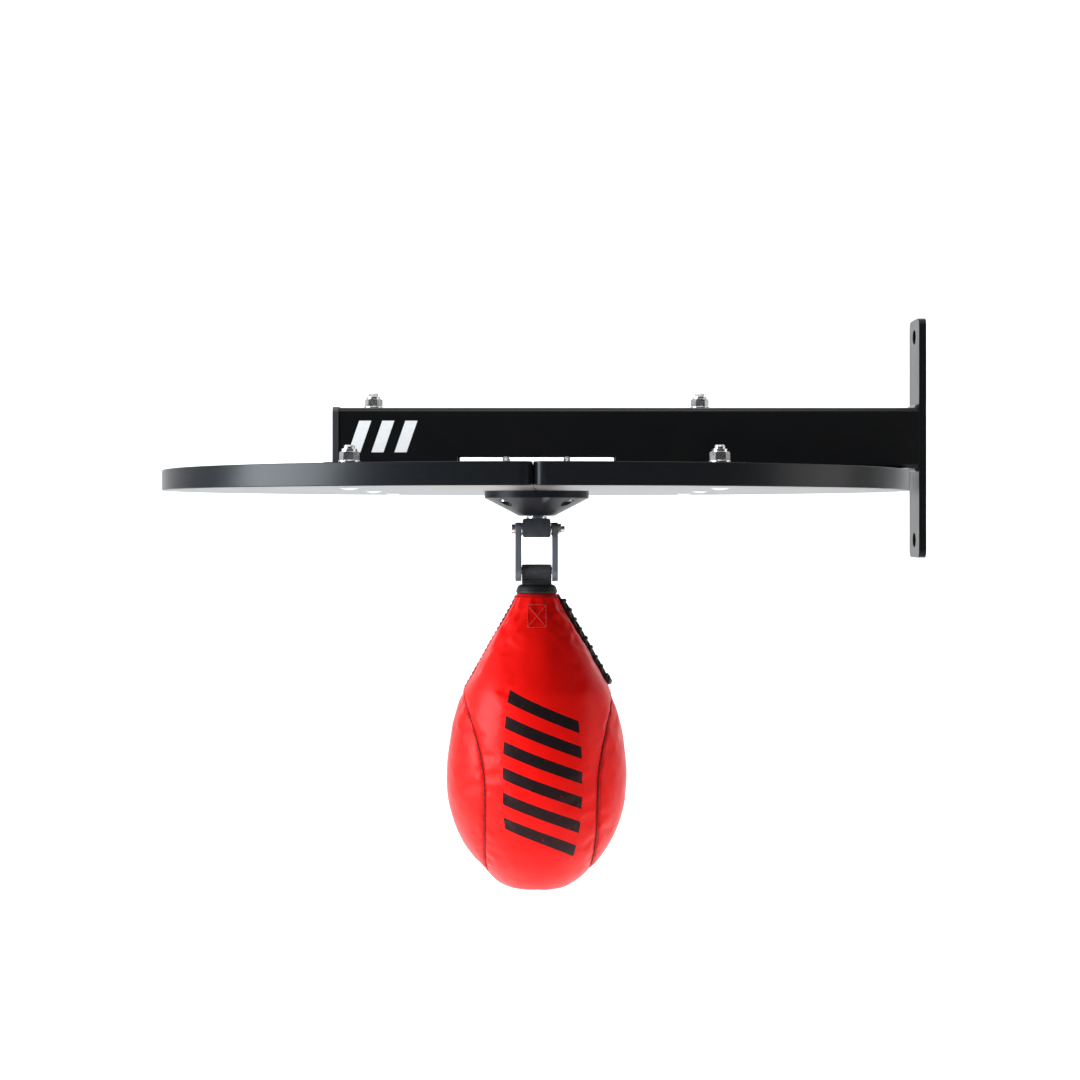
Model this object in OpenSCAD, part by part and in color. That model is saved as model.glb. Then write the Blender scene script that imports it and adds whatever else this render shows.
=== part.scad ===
// Speed bag platform: a wall bracket with a cantilever arm, a round rebound
// board in two halves, a ball-bearing swivel, and a laced leather striking bag.
//
// Frame, in millimetres: the origin is the centre of the wall plate's back face.
// +X points into the wall, so the arm reaches towards -X. +Z is up, and +Y
// runs sideways along the wall.

/* [Wall plate] */
// Height of the wall plate
plate_height = 198; // [120:1:300]
// Width of the wall plate
plate_width = 38; // [30:1:80]
// Thickness of the wall plate
plate_thick = 6; // [3:0.5:12]
// Corner radius of the wall plate
plate_corner_r = 6; // [1:0.5:15]
// Distance between the two bolt holes
bolt_spacing = 169; // [100:1:270]
// Radius of each bolt hole
bolt_hole_r = 6; // [3:0.25:8]

/* [Arm] */
// Distance from the wall to the open end of the tube
arm_reach = 484; // [420:1:600]
// Height of the square-cornered tube
arm_height = 50; // [40:1:80]
// Width of the tube
arm_width = 38; // [30:1:60]
// Wall thickness of the tube
arm_wall = 2; // [1.5:0.1:4]
// Outside corner radius of the tube
arm_corner_r = 4; // [2.5:0.5:8]
// Length of the slot cut along the tube's lower edge
notch_length = 130; // [80:1:180]
// Depth of that slot
notch_depth = 10; // [4:0.5:14]
// Radius of the weld beads at the plate
weld_r = 3; // [1:0.25:5]

/* [End cap] */
// Thickness of the cap's flange
cap_flange = 5; // [2:0.5:8]
// How far the flange stands proud of the tube on each side
cap_proud = 0.8; // [0:0.1:2]
// Depth of the plug inside the tube
cap_plug_depth = 14; // [6:1:30]
// Wall thickness of the plug
cap_plug_wall = 2; // [1:0.25:4]
// Gap between the plug and the tube
cap_plug_gap = 0.2; // [0.05:0.05:0.5]

/* [Board] */
// Distance from the wall to the swivel's centre
board_offset = 321; // [315:1:400]
// Radius of the round board
board_r = 305; // [250:1:310]
// Thickness of the board
board_thick = 16; // [12:0.5:30]
// Corner radius where the seam meets the rim
board_corner_r = 9; // [3:0.5:20]
// Gap between the two halves
seam_gap = 0.6; // [0.2:0.1:3]
// Thickness of the edge band
band_thick = 1; // [0.5:0.1:3]

/* [Cross bars] */
// Distance of each bar from the seam
bar_offset = 136; // [110:1:180]
// Length of each bar
bar_length = 370; // [300:1:420]
// Width of each bar
bar_width = 35; // [20:1:50]
// Thickness of each bar
bar_thick = 3; // [2:0.5:6]
// Corner radius of each bar
bar_corner_r = 4; // [1:0.5:10]
// Distance of the outer bolts from the arm's centre line
bar_bolt_y = 171; // [120:1:176]

/* [Bolts] */
// Radius of the board bolts
bolt_r = 4; // [3:0.5:5]
// Clearance round each bolt
bolt_gap = 0.25; // [0.1:0.05:0.5]
// Radius of the domed bolt heads
dome_r = 7; // [6:0.5:11]
// Height of the domed bolt heads
dome_height = 1.2; // [0.8:0.1:6]
// Width of the square neck under each head
neck_square = 8; // [6:0.5:10]
// Height of the square neck
neck_height = 4.5; // [3:0.5:6]
// Width across the flats of the board nuts
nut_flats = 13; // [10:0.5:17]
// Height of the six-sided part of the board nuts
nut_hex_height = 6.4; // [4:0.1:9]
// Height of the round locking collar on the nuts
nut_collar_height = 1.9; // [1:0.1:3]
// Radius of the washers
washer_r = 8; // [6:0.5:12]
// Thickness of the washers
washer_thick = 1.6; // [1:0.1:3]
// Length of thread past each nut
stud_past = 3; // [1:0.5:8]

/* [Swivel flange] */
// Radius of the flange
flange_r = 43.5; // [35:0.5:60]
// Height of the flange's straight rim
flange_rim = 5.5; // [3:0.5:10]
// Full height of the flange
flange_height = 20.4; // [16:0.1:30]
// Radius at the flange's lower face
flange_nose_r = 15; // [12:0.5:20]
// Radius of the bearing cavity
cavity_r = 15; // [13:0.5:18]
// Depth of the bearing cavity
cavity_depth = 13; // [12:0.5:16]
// Distance of each fixing screw from the centre lines
screw_offset = 25; // [20:0.5:30]
// Radius of the fixing screws
screw_r = 2.5; // [2:0.25:4]
// Radius of the counterbores
counterbore_r = 5; // [4:0.25:7]
// Metal left above each counterbore
counterbore_floor = 4.5; // [3:0.25:8]
// Radius of the screw heads
screw_head_r = 4.3; // [3:0.1:6]
// Height of the screw heads
screw_head_height = 4; // [2:0.25:6]

/* [Spindle] */
// Radius of the spindle
spindle_r = 6; // [4:0.25:8]
// Running clearance of the spindle and the pivot
running_gap = 0.05; // [0.02:0.01:0.1]
// Radius of the bearing balls
ball_r = 2; // [1.5:0.25:3]
// Number of bearing balls
ball_count = 10; // [6:1:12]
// Radius of the circle of balls
ball_circle_r = 10.8; // [9:0.1:12]
// Gap between the balls and their races
ball_gap = 0.32; // [0.3:0.01:0.5]
// Width of the swivel block along its pivot
block_width = 23; // [18:0.5:30]
// Depth of the swivel block
block_depth = 19; // [14:0.5:26]
// Height of the swivel block
block_height = 15.6; // [12:0.1:20]
// Corner radius of the swivel block
block_corner_r = 1.75; // [1:0.25:6]
// Radius of the collar between flange and block
neck_r = 8.8; // [7:0.1:12]

/* [Hanger] */
// Drop from the board's underside to the pivot
pivot_drop = 31.4; // [28:0.1:40]
// Radius of the pivot bolt
pivot_r = 2.5; // [2:0.25:4]
// Distance from the pivot down to the loop pin
link_length = 34.6; // [25:0.1:50]
// Thickness of each link
link_thick = 5; // [2:0.25:7]
// Gap between the two links
link_gap = 25.6; // [20:0.1:35]
// Radius of each link's upper end
link_top_r = 5.5; // [4:0.25:9]
// Radius of each link's lower end
link_bottom_r = 9; // [6:0.25:12]
// Radius of the loop pin
pin_r = 3; // [2:0.25:5]
// Length of bolt past the pivot nut
pivot_past = 3; // [1:0.5:6]

/* [Webbing] */
// Width of the webbing
web_width = 25; // [15:0.5:30]
// Thickness of the webbing
web_thick = 2; // [1:0.1:3]
// Gap between the loop and its pin
loop_gap = 0.3; // [0.3:0.05:1]

/* [Bag] */
// Drop from the loop pin to the bag's neck
neck_drop = 18.5; // [15:0.5:30]
// Radius of the bag at its neck
bag_neck_r = 16.4; // [12:0.1:22]
// Length of the straight cone below the neck
cone_length = 78.5; // [60:0.5:100]
// Radius at the foot of the cone
cone_foot_r = 60.8; // [45:0.1:70]
// Greatest radius of the bag
belly_r = 74.3; // [60:0.1:85]
// Drop from the foot of the cone to the belly
belly_drop = 76; // [50:0.5:90]
// Drop from the belly to the base
base_drop = 88.3; // [60:0.1:100]
// Radius of the flattened base
base_r = 27; // [15:0.5:40]
// Thickness of the leather
leather_thick = 2; // [1:0.1:3]
// Half width of each side panel
side_half_width = 58; // [40:0.5:65]
// Half height of each side panel
side_half_height = 78; // [60:0.5:85]
// Drop from the foot of the cone to the side panels' middle
side_drop = 77.3; // [60:0.1:85]
// Turn of the bag about its own axis, in degrees
bag_turn = 4.5; // [-10:0.5:10]

/* [Lacing] */
// Length of the laced slit
slit_length = 78; // [50:1:85]
// Width of the slit
slit_width = 4; // [2:0.5:8]
// Width of the binding on each side of the slit
binding_width = 4.5; // [2:0.5:8]
// Thickness of the binding
binding_thick = 1.2; // [0.8:0.1:3]
// Radius of the lace
lace_r = 1.6; // [1:0.1:3]
// Number of crossings
crossing_count = 9; // [4:1:12]
// Thickness of the tongue behind the slit
tongue_thick = 0.8; // [0.5:0.1:2]
// Half angle of the tongue, in degrees
tongue_angle = 14; // [8:1:20]

/* [Bladder] */
// Gap between the leather and the bladder
bladder_gap = 2.6; // [1.2:0.1:4]
// Wall thickness of the bladder
bladder_thick = 1.2; // [0.8:0.1:3]
// Drop from the bag's neck to the bladder's top
bladder_drop = 31; // [25:0.5:50]
// Radius of the valve's flange
valve_flange_r = 5; // [3:0.5:8]
// Radius of the valve's plug
valve_plug_r = 2.2; // [1.5:0.1:4]
// Length of the valve's plug
valve_plug_length = 8; // [4:0.5:14]

/* [Hidden] */
// Extra length on every cutter, so that no two faces are left level
over = 1;
// Where the swivel's axis stands
swivel_x = -board_offset;
// The tube's lower and upper faces
arm_bottom = -arm_height / 2;
arm_top = arm_height / 2;
// The board's upper and lower faces
board_top = arm_bottom - bar_thick;
board_bottom = board_top - board_thick;
// Bolt hole radius
hole_r = bolt_r + bolt_gap;
// Keeps straight sides a hair inside the arcs that they run into
tangent_inset = 0.02;
// Small fitted clearance between a thread and its nut
thread_gap = 0.05;
// Radius of the sphere that each dome is cut from
dome_sphere_r = (dome_r * dome_r + dome_height * dome_height) / (2 * dome_height);
// Chamfer at the end of each thread
stud_chamfer = 0.8;
// Fraction of a nut's flats used for its chamfer
nut_chamfer = 0.08;
// Height of a nut with its collar
nut_height = nut_hex_height + nut_collar_height;
// Tops of the two sorts of stud
board_stud_top = arm_bottom + washer_thick + nut_height + stud_past;
arm_stud_top = arm_top + washer_thick + nut_height + stud_past;
// Swivel screw hardware, which follows the screw's radius
screw_nut_flats = 3.2 * screw_r;
screw_nut_hex = 1.5 * screw_r;
screw_nut_collar = 0.5 * screw_r;
screw_washer_r = 2 * screw_r;
screw_washer_thick = 1;
screw_hole_r = screw_r + bolt_gap;
screw_stud_top = board_top + screw_washer_thick + 4.4 * screw_r;
screw_socket_r = 0.92 * screw_r;
screw_socket_depth = screw_head_height / 2;
// Flange levels
flange_bottom = board_bottom - flange_height;
cavity_floor = board_bottom - cavity_depth;
// Bearing levels: the races, the washer and the lock nut stack in the cavity
race_thick = 2.8;
ball_z = cavity_floor + race_thick + 1.2;
upper_race_z = ball_z + 1.2;
race_outer_r = cavity_r - 0.1;
race_free = 0.6;
groove_r = ball_r + ball_gap;
cage_thick = 1.2;
cage_wall = 1;
spindle_washer_thick = 1;
spindle_nut_flats = 17;
spindle_nut_z = upper_race_z + race_thick + spindle_washer_thick;
spindle_nut_thick = board_bottom - 1 - spindle_nut_z;
spindle_top = spindle_nut_z + spindle_nut_thick - 0.3;
// Block levels
block_top = flange_bottom - 2.2;
block_middle = block_top - block_height / 2;
neck_washer_gap = 0.3;
spindle_root_r = 5;
spindle_root = 4;
pivot_z = board_bottom - pivot_drop;
bushing_r = 3.8;
bushing_inset = 0.5;
// Hanger levels
pin_z = pivot_z - link_length;
link_inner = link_gap / 2;
link_outer = link_inner + link_thick;
spacer_gap = 0.15;
spacer_r = 5.4;
pivot_head_r = 4.1;
pivot_head_height = 3;
pivot_nut_flats = 8;
pivot_nut_thick = 2.6;
link_slope = asin((link_bottom_r - link_top_r) / link_length);
// Webbing levels: a teardrop round the pin, then two legs side by side
loop_in_r = pin_r + loop_gap;
loop_out_r = loop_in_r + web_thick;
leg_drop = 9;
leg_start = pin_z - leg_drop;
leg_split = pin_z - 18.7;
leg_knee = pin_z - 24.5;
leg_end = pin_z - 45;
knee_y = 7.3;
leg_end_y = 22.6;
// Bag levels
neck_z = pin_z - neck_drop;
cone_foot = neck_z - cone_length;
belly_z = cone_foot - belly_drop;
base_z = belly_z - base_drop;
side_z = cone_foot - side_drop;
// The belly is two arcs that meet level at its widest point
upper_arc_x = belly_arc_x(cone_foot_r, belly_drop);
lower_arc_x = belly_arc_x(base_r, base_drop);
// Straight runs that stand for each arc
belly_steps = 5;
base_steps = 9;
// Each side panel's outline is where two equal circles cross
lens_r = (pow(side_half_height, 2) + pow(side_half_width, 2)) / (2 * side_half_width);
lens_shift = lens_r - side_half_width;
// The cone's lean, which the lacing follows
cone_lean = atan((cone_foot_r - bag_neck_r) / cone_length);
// Gap along the seams round each side panel
panel_gap = 0.15;
// Collar at the bag's neck
collar_height = 7;
collar_r = 16.6;
collar_round = 2;
collar_slot = 5.2;
// Lacing positions, measured down the cone from the neck
slit_start = 6;
lace_pitch = (slit_length - 10) / (crossing_count - 1);
lace_lift = 2.1;
lace_reach = 4.6;
lace_knot_r = 2.8;
// Valve position, measured down the cone from the neck
valve_along = 62;
valve_flange_thick = 0.7;
// Level of the bladder's top
bladder_top = neck_z - bladder_drop;
// Colours
powder_black = [0.03, 0.03, 0.03];
cap_black = [0.08, 0.08, 0.09];
laminate_black = [0.05, 0.05, 0.05];
band_black = [0.1, 0.1, 0.11];
zinc = [0.72, 0.73, 0.74];
steel = [0.6, 0.6, 0.62];
flange_grey = [0.16, 0.16, 0.17];
link_grey = [0.3, 0.31, 0.34];
bronze = [0.7, 0.52, 0.3];
webbing_black = [0.06, 0.06, 0.07];
leather_red = [0.75, 0.04, 0.05];
leather_dark = [0.05, 0.05, 0.05];
rubber_tan = [0.45, 0.3, 0.2];

// Centre of the arc that passes the belly and a point of radius r, a drop away
function belly_arc_x(r, drop) = (pow(r, 2) + pow(drop, 2) - pow(belly_r, 2)) / (2 * (r - belly_r));

// Flat shape helpers

module rounded_rect(w, h, r) {
    square([w - 2 * r, h], center = true);
    square([w, h - 2 * r], center = true);
    for (x = [-1, 1], y = [-1, 1]) translate([x * (w / 2 - r), y * (h / 2 - r)]) circle(r = r, $fn = 48);
}

// One half of the board, on the side of +X, kept a margin inside its true edge
module half_disc(margin) {
    edge_r = board_r - margin;
    corner_r = board_corner_r - margin;
    corner_x = seam_gap / 2 + board_corner_r;
    corner_y = sqrt(pow(board_r - board_corner_r, 2) - pow(corner_x, 2));
    reach = (edge_r + over) / (board_r - board_corner_r);
    difference() {
        circle(r = edge_r, $fn = 180);
        translate([seam_gap / 2 + margin - 2 * edge_r, -2 * edge_r]) square([2 * edge_r, 4 * edge_r]);
        for (side = [-1, 1]) difference() {
            polygon([
                [corner_x, side * corner_y],
                [corner_x * reach, side * corner_y * reach],
                [-over, side * (edge_r + over)],
                [-over, side * corner_y]
            ]);
            translate([corner_x, side * corner_y]) circle(r = corner_r, $fn = 48);
        }
    }
}

// Extrudes a (Y, Z) profile along +X from a start position
module along_x(from, length) {
    translate([from, 0, 0]) rotate([90, 0, 90]) linear_extrude(height = length) children();
}

// Lays children, drawn along +Z, along +X instead
module lie_x(from) {
    translate([from, 0, 0]) rotate([0, 90, 0]) children();
}

module at_swivel() {
    translate([swivel_x, 0, 0]) children();
}

module at_board_bolts() {
    for (x = [-1, 1], y = [-1, 1]) translate([swivel_x + x * bar_offset, y * bar_bolt_y, 0]) children();
}

module at_arm_bolts() {
    for (x = [-1, 1]) translate([swivel_x + x * bar_offset, 0, 0]) children();
}

module at_swivel_screws() {
    for (x = [-1, 1], y = [-1, 1]) translate([swivel_x + x * screw_offset, y * screw_offset, 0]) children();
}

// Fastener helpers

module ring(outer, inner, height) {
    difference() {
        cylinder(r = outer, h = height, $fn = 64);
        translate([0, 0, -over]) cylinder(r = inner, h = height + 2 * over, $fn = 64);
    }
}

module carriage_bolt(top) {
    translate([0, 0, board_bottom]) {
        intersection() {
            translate([0, 0, dome_sphere_r - dome_height]) sphere(r = dome_sphere_r, $fn = 64);
            translate([0, 0, -2 * dome_height]) cylinder(r = 2 * dome_r, h = 2 * dome_height, $fn = 64);
        }
        translate([-neck_square / 2, -neck_square / 2, -over / 2])
            cube([neck_square, neck_square, neck_height]);
        cylinder(r = bolt_r, h = top - board_bottom - stud_chamfer, $fn = 48);
    }
    translate([0, 0, top - stud_chamfer])
        cylinder(r1 = bolt_r, r2 = bolt_r - stud_chamfer, h = stud_chamfer, $fn = 48);
}

// A chamfered six-sided nut with an optional locking collar on top
module lock_nut(flats, hex, collar, bore) {
    point_r = flats / 2 / cos(30);
    chamfer = flats * nut_chamfer;
    difference() {
        union() {
            intersection() {
                cylinder(r = point_r, h = hex, $fn = 6);
                rotate_extrude($fn = 64) polygon([
                    [0, 0],
                    [point_r - chamfer, 0],
                    [point_r, chamfer / 2],
                    [point_r, hex - chamfer / 2],
                    [point_r - chamfer, hex],
                    [0, hex]
                ]);
            }
            if (collar > 0) translate([0, 0, hex - over])
                cylinder(r = flats * 0.44, h = collar + over, $fn = 64);
        }
        translate([0, 0, -over]) cylinder(r = bore, h = hex + collar + 2 * over, $fn = 48);
    }
}

// Bracket

module wall_plate() {
    color(powder_black) difference() {
        along_x(-plate_thick, plate_thick) rounded_rect(plate_width, plate_height, plate_corner_r);
        for (z = [-1, 1]) translate([0, 0, z * bolt_spacing / 2])
            lie_x(-plate_thick - over) cylinder(r = bolt_hole_r, h = plate_thick + 2 * over, $fn = 64);
    }
}

module arm_outline(inset) {
    rounded_rect(arm_width - 2 * inset, arm_height - 2 * inset, arm_corner_r - inset);
}

module support_arm() {
    color(powder_black) difference() {
        along_x(-arm_reach, arm_reach - plate_thick) arm_outline(0);
        along_x(-arm_reach - over, arm_reach - plate_thick + 2 * over) arm_outline(arm_wall);
        translate([swivel_x - notch_length / 2, -arm_width, arm_bottom - over])
            cube([notch_length, 2 * arm_width, notch_depth + over]);
        at_arm_bolts() translate([0, 0, -arm_height]) cylinder(r = hole_r, h = 2 * arm_height, $fn = 48);
    }
}

module arm_welds() {
    bead_half = arm_width / 2 - arm_corner_r;
    color(powder_black) difference() {
        for (z = [-1, 1]) translate([-plate_thick, 0, z * arm_height / 2]) {
            rotate([90, 0, 0]) cylinder(r = weld_r, h = 2 * bead_half, center = true, $fn = 48);
            for (y = [-1, 1]) translate([0, y * bead_half, 0]) sphere(r = weld_r, $fn = 48);
        }
        along_x(-plate_thick - 2 * weld_r, 3 * weld_r) arm_outline(0);
        translate([-plate_thick, -arm_width, -arm_height]) cube([2 * weld_r, 2 * arm_width, 2 * arm_height]);
    }
}

module arm_end_cap() {
    plug_inset = arm_wall + cap_plug_gap;
    color(cap_black) {
        along_x(-arm_reach - cap_flange, cap_flange)
            rounded_rect(arm_width + 2 * cap_proud, arm_height + 2 * cap_proud, arm_corner_r + cap_proud);
        difference() {
            along_x(-arm_reach - over, cap_plug_depth + over) arm_outline(plug_inset);
            along_x(-arm_reach, cap_plug_depth + over)
                square([arm_width, arm_height] - 2 * (plug_inset + cap_plug_wall) * [1, 1], center = true);
        }
    }
}

module cross_bar(side) {
    color(powder_black) translate([swivel_x + side * bar_offset, 0, board_top]) difference() {
        linear_extrude(height = bar_thick) rounded_rect(bar_width, bar_length, bar_corner_r);
        for (y = [-bar_bolt_y, 0, bar_bolt_y])
            translate([0, y, -over]) cylinder(r = hole_r, h = bar_thick + 2 * over, $fn = 48);
    }
}

module outer_cross_bar() {
    cross_bar(-1);
}

module wall_side_cross_bar() {
    cross_bar(1);
}

// Cuts the bolt and screw holes that every board half needs
module board_holes() {
    neck_hole = neck_square + 2 * thread_gap;
    for (y = [-bar_bolt_y, 0, bar_bolt_y]) translate([bar_offset, y, board_bottom]) {
        translate([0, 0, -over]) cylinder(r = hole_r, h = board_thick + 2 * over, $fn = 48);
        translate([-neck_hole / 2, -neck_hole / 2, -over]) cube([neck_hole, neck_hole, neck_height + over]);
    }
    for (y = [-1, 1]) translate([screw_offset, y * screw_offset, board_bottom - over])
        cylinder(r = screw_hole_r, h = board_thick + 2 * over, $fn = 48);
}

module board_half() {
    difference() {
        translate([0, 0, board_bottom]) linear_extrude(height = board_thick) half_disc(band_thick);
        board_holes();
    }
}

module edge_band() {
    translate([0, 0, board_bottom]) difference() {
        linear_extrude(height = board_thick) half_disc(0);
        translate([0, 0, -over]) linear_extrude(height = board_thick + 2 * over) half_disc(band_thick);
    }
}

module outer_board_half() {
    color(laminate_black) at_swivel() mirror([1, 0, 0]) board_half();
}

module wall_side_board_half() {
    color(laminate_black) at_swivel() board_half();
}

module outer_edge_band() {
    color(band_black) at_swivel() mirror([1, 0, 0]) edge_band();
}

module wall_side_edge_band() {
    color(band_black) at_swivel() edge_band();
}

module board_bolts() {
    color(zinc) at_board_bolts() carriage_bolt(board_stud_top);
}

module board_washers() {
    color(zinc) at_board_bolts() translate([0, 0, arm_bottom]) ring(washer_r, hole_r, washer_thick);
}

module board_nuts() {
    color(zinc) at_board_bolts() translate([0, 0, arm_bottom + washer_thick])
        lock_nut(nut_flats, nut_hex_height, nut_collar_height, bolt_r + thread_gap);
}

module arm_bolts() {
    color(zinc) at_arm_bolts() carriage_bolt(arm_stud_top);
}

module arm_washers() {
    color(zinc) at_arm_bolts() translate([0, 0, arm_top]) ring(washer_r, hole_r, washer_thick);
}

module arm_nuts() {
    color(zinc) at_arm_bolts() translate([0, 0, arm_top + washer_thick])
        lock_nut(nut_flats, nut_hex_height, nut_collar_height, bolt_r + thread_gap);
}

// Swivel, fixed part

module swivel_flange() {
    bore_r = spindle_r + running_gap;
    rim_z = board_bottom - flange_rim;
    color(flange_grey) difference() {
        at_swivel() rotate_extrude($fn = 128) polygon([
            [bore_r, flange_bottom],
            [flange_nose_r, flange_bottom],
            [flange_r, rim_z],
            [flange_r, board_bottom],
            [cavity_r, board_bottom],
            [cavity_r, cavity_floor],
            [bore_r, cavity_floor]
        ]);
        at_swivel_screws() {
            translate([0, 0, flange_bottom]) cylinder(r = screw_hole_r, h = flange_height + over, $fn = 48);
            translate([0, 0, flange_bottom - over])
                cylinder(r = counterbore_r, h = flange_height - counterbore_floor + over, $fn = 48);
        }
    }
}

module swivel_screws() {
    head_top = board_bottom - counterbore_floor;
    color(zinc) at_swivel_screws() difference() {
        union() {
            translate([0, 0, head_top - screw_head_height])
                cylinder(r = screw_head_r, h = screw_head_height, $fn = 48);
            translate([0, 0, head_top - over])
                cylinder(r = screw_r, h = screw_stud_top - head_top + over, $fn = 48);
        }
        translate([0, 0, head_top - screw_head_height - over])
            cylinder(r = screw_socket_r, h = screw_socket_depth + over, $fn = 6);
    }
}

module swivel_washers() {
    color(zinc) at_swivel_screws() translate([0, 0, board_top])
        ring(screw_washer_r, screw_hole_r, screw_washer_thick);
}

module swivel_nuts() {
    color(zinc) at_swivel_screws() translate([0, 0, board_top + screw_washer_thick])
        lock_nut(screw_nut_flats, screw_nut_hex, screw_nut_collar, screw_r + thread_gap);
}

module race(low, outer, inner) {
    at_swivel() difference() {
        translate([0, 0, low]) ring(outer, inner, race_thick);
        translate([0, 0, ball_z]) rotate_extrude($fn = 96)
            translate([ball_circle_r, 0]) circle(r = groove_r, $fn = 48);
    }
}

module lower_race() {
    color(steel) race(cavity_floor, race_outer_r, spindle_r + race_free);
}

// Swivel, ball set

module at_balls() {
    at_swivel() for (i = [0 : ball_count - 1]) rotate([0, 0, i * 360 / ball_count])
        translate([ball_circle_r, 0, ball_z]) children();
}

module bearing_balls() {
    color(steel) at_balls() sphere(r = ball_r, $fn = 48);
}

module bearing_cage() {
    half_width = groove_r + cage_wall - 0.4;
    color(bronze) difference() {
        at_swivel() translate([0, 0, ball_z - cage_thick / 2])
            ring(ball_circle_r + half_width, ball_circle_r - half_width, cage_thick);
        at_balls() translate([0, 0, -cage_thick])
            cylinder(r = ball_r + ball_gap, h = 2 * cage_thick, $fn = 48);
    }
}

// Swivel, turning part

module upper_race() {
    color(steel) race(upper_race_z, race_outer_r - race_free, spindle_r + thread_gap);
}

module swivel_spindle() {
    color(steel) at_swivel() {
        translate([0, 0, block_top]) cylinder(r = spindle_r, h = spindle_top - block_top, $fn = 64);
        translate([0, 0, block_top - spindle_root])
            cylinder(r = spindle_root_r, h = spindle_root + over, $fn = 64);
    }
}

module spindle_washer() {
    color(zinc) at_swivel() translate([0, 0, upper_race_z + race_thick])
        ring(spindle_r + 4, spindle_r + thread_gap, spindle_washer_thick);
}

module spindle_nut() {
    color(zinc) at_swivel() translate([0, 0, spindle_nut_z])
        lock_nut(spindle_nut_flats, spindle_nut_thick, 0, spindle_r + thread_gap);
}

module neck_washer() {
    color(steel) at_swivel() translate([0, 0, block_top])
        ring(neck_r, spindle_r + thread_gap, flange_bottom - block_top - neck_washer_gap);
}

module swivel_block() {
    color(flange_grey) at_swivel() difference() {
        translate([0, block_depth / 2, block_middle]) rotate([90, 0, 0])
            linear_extrude(height = block_depth) rounded_rect(block_width, block_height, block_corner_r);
        translate([0, 0, block_top - spindle_root])
            cylinder(r = spindle_root_r + thread_gap, h = spindle_root + over, $fn = 64);
        translate([0, 0, pivot_z]) lie_x(-block_width)
            cylinder(r = bushing_r + thread_gap, h = 2 * block_width, $fn = 64);
    }
}

module block_bushings() {
    length = block_width / 2 - bushing_inset;
    color(bronze) at_swivel() translate([0, 0, pivot_z]) for (start = [-block_width / 2, bushing_inset])
        lie_x(start) ring(bushing_r, pivot_r + running_gap, length);
}

// Hanger

// The straight-sided middle of a link, drawn in (Y, Z)
module link_middle() {
    top_y = link_top_r * cos(link_slope) - tangent_inset;
    top_z = pivot_z + link_top_r * sin(link_slope);
    bottom_y = link_bottom_r * cos(link_slope) - tangent_inset;
    bottom_z = pin_z + link_bottom_r * sin(link_slope);
    polygon([[-top_y, top_z], [top_y, top_z], [bottom_y, bottom_z], [-bottom_y, bottom_z]]);
}

module link(start) {
    color(link_grey) at_swivel() difference() {
        union() {
            along_x(start, link_thick) link_middle();
            translate([0, 0, pivot_z]) lie_x(start) cylinder(r = link_top_r, h = link_thick, $fn = 64);
            translate([0, 0, pin_z]) lie_x(start) cylinder(r = link_bottom_r, h = link_thick, $fn = 64);
        }
        translate([0, 0, pivot_z]) lie_x(start - over)
            cylinder(r = pivot_r + thread_gap, h = link_thick + 2 * over, $fn = 64);
        translate([0, 0, pin_z]) lie_x(start - over)
            cylinder(r = pin_r + thread_gap, h = link_thick + 2 * over, $fn = 64);
    }
}

module left_link() {
    link(-link_outer);
}

module right_link() {
    link(link_inner);
}

module pivot_bolt() {
    shank = 2 * link_outer + pivot_nut_thick + pivot_past;
    color(zinc) at_swivel() translate([0, 0, pivot_z]) {
        lie_x(-link_outer - pivot_head_height) cylinder(r = pivot_head_r, h = pivot_head_height, $fn = 64);
        lie_x(-link_outer - over) cylinder(r = pivot_r, h = shank + over, $fn = 64);
    }
}

module pivot_nut() {
    color(zinc) at_swivel() translate([0, 0, pivot_z]) lie_x(link_outer)
        lock_nut(pivot_nut_flats, pivot_nut_thick, 0, pivot_r + thread_gap);
}

module pivot_spacers() {
    near = block_width / 2 + spacer_gap;
    color(zinc) at_swivel() translate([0, 0, pivot_z]) for (start = [-link_inner, near])
        lie_x(start) ring(spacer_r, pivot_r + thread_gap, link_inner - near);
}

module loop_pin() {
    color(steel) at_swivel() translate([0, 0, pin_z]) lie_x(-link_outer)
        cylinder(r = pin_r, h = 2 * link_outer, $fn = 64);
}

// Bag

// The webbing below its loop, in (Y, Z): two legs side by side that part again inside the bag
module webbing_outline() {
    lean = asin((loop_out_r - web_thick) / (pin_z - leg_start));
    side_y = loop_out_r * cos(lean) - tangent_inset;
    side_z = pin_z - loop_out_r * sin(lean);
    polygon([
        [side_y, side_z],
        [web_thick, leg_start],
        [web_thick, leg_split],
        [knee_y + web_thick, leg_knee],
        [leg_end_y + web_thick, leg_end],
        [leg_end_y, leg_end],
        [knee_y, leg_knee],
        [0, leg_split - web_thick],
        [-knee_y, leg_knee],
        [-leg_end_y, leg_end],
        [-leg_end_y - web_thick, leg_end],
        [-knee_y - web_thick, leg_knee],
        [-web_thick, leg_split],
        [-web_thick, leg_start],
        [-side_y, side_z]
    ]);
}

module webbing_loop() {
    eye_lean = asin(loop_in_r / (leg_drop - over));
    eye_y = loop_in_r * cos(eye_lean) - tangent_inset;
    eye_z = pin_z - loop_in_r * sin(eye_lean);
    color(webbing_black) at_swivel() difference() {
        union() {
            along_x(-web_width / 2, web_width) webbing_outline();
            translate([0, 0, pin_z]) lie_x(-web_width / 2) cylinder(r = loop_out_r, h = web_width, $fn = 64);
        }
        translate([0, 0, pin_z]) lie_x(-web_width) cylinder(r = loop_in_r, h = 2 * web_width, $fn = 64);
        along_x(-web_width, 2 * web_width) polygon([[-eye_y, eye_z], [eye_y, eye_z], [0, leg_start + over]]);
    }
}

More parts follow.
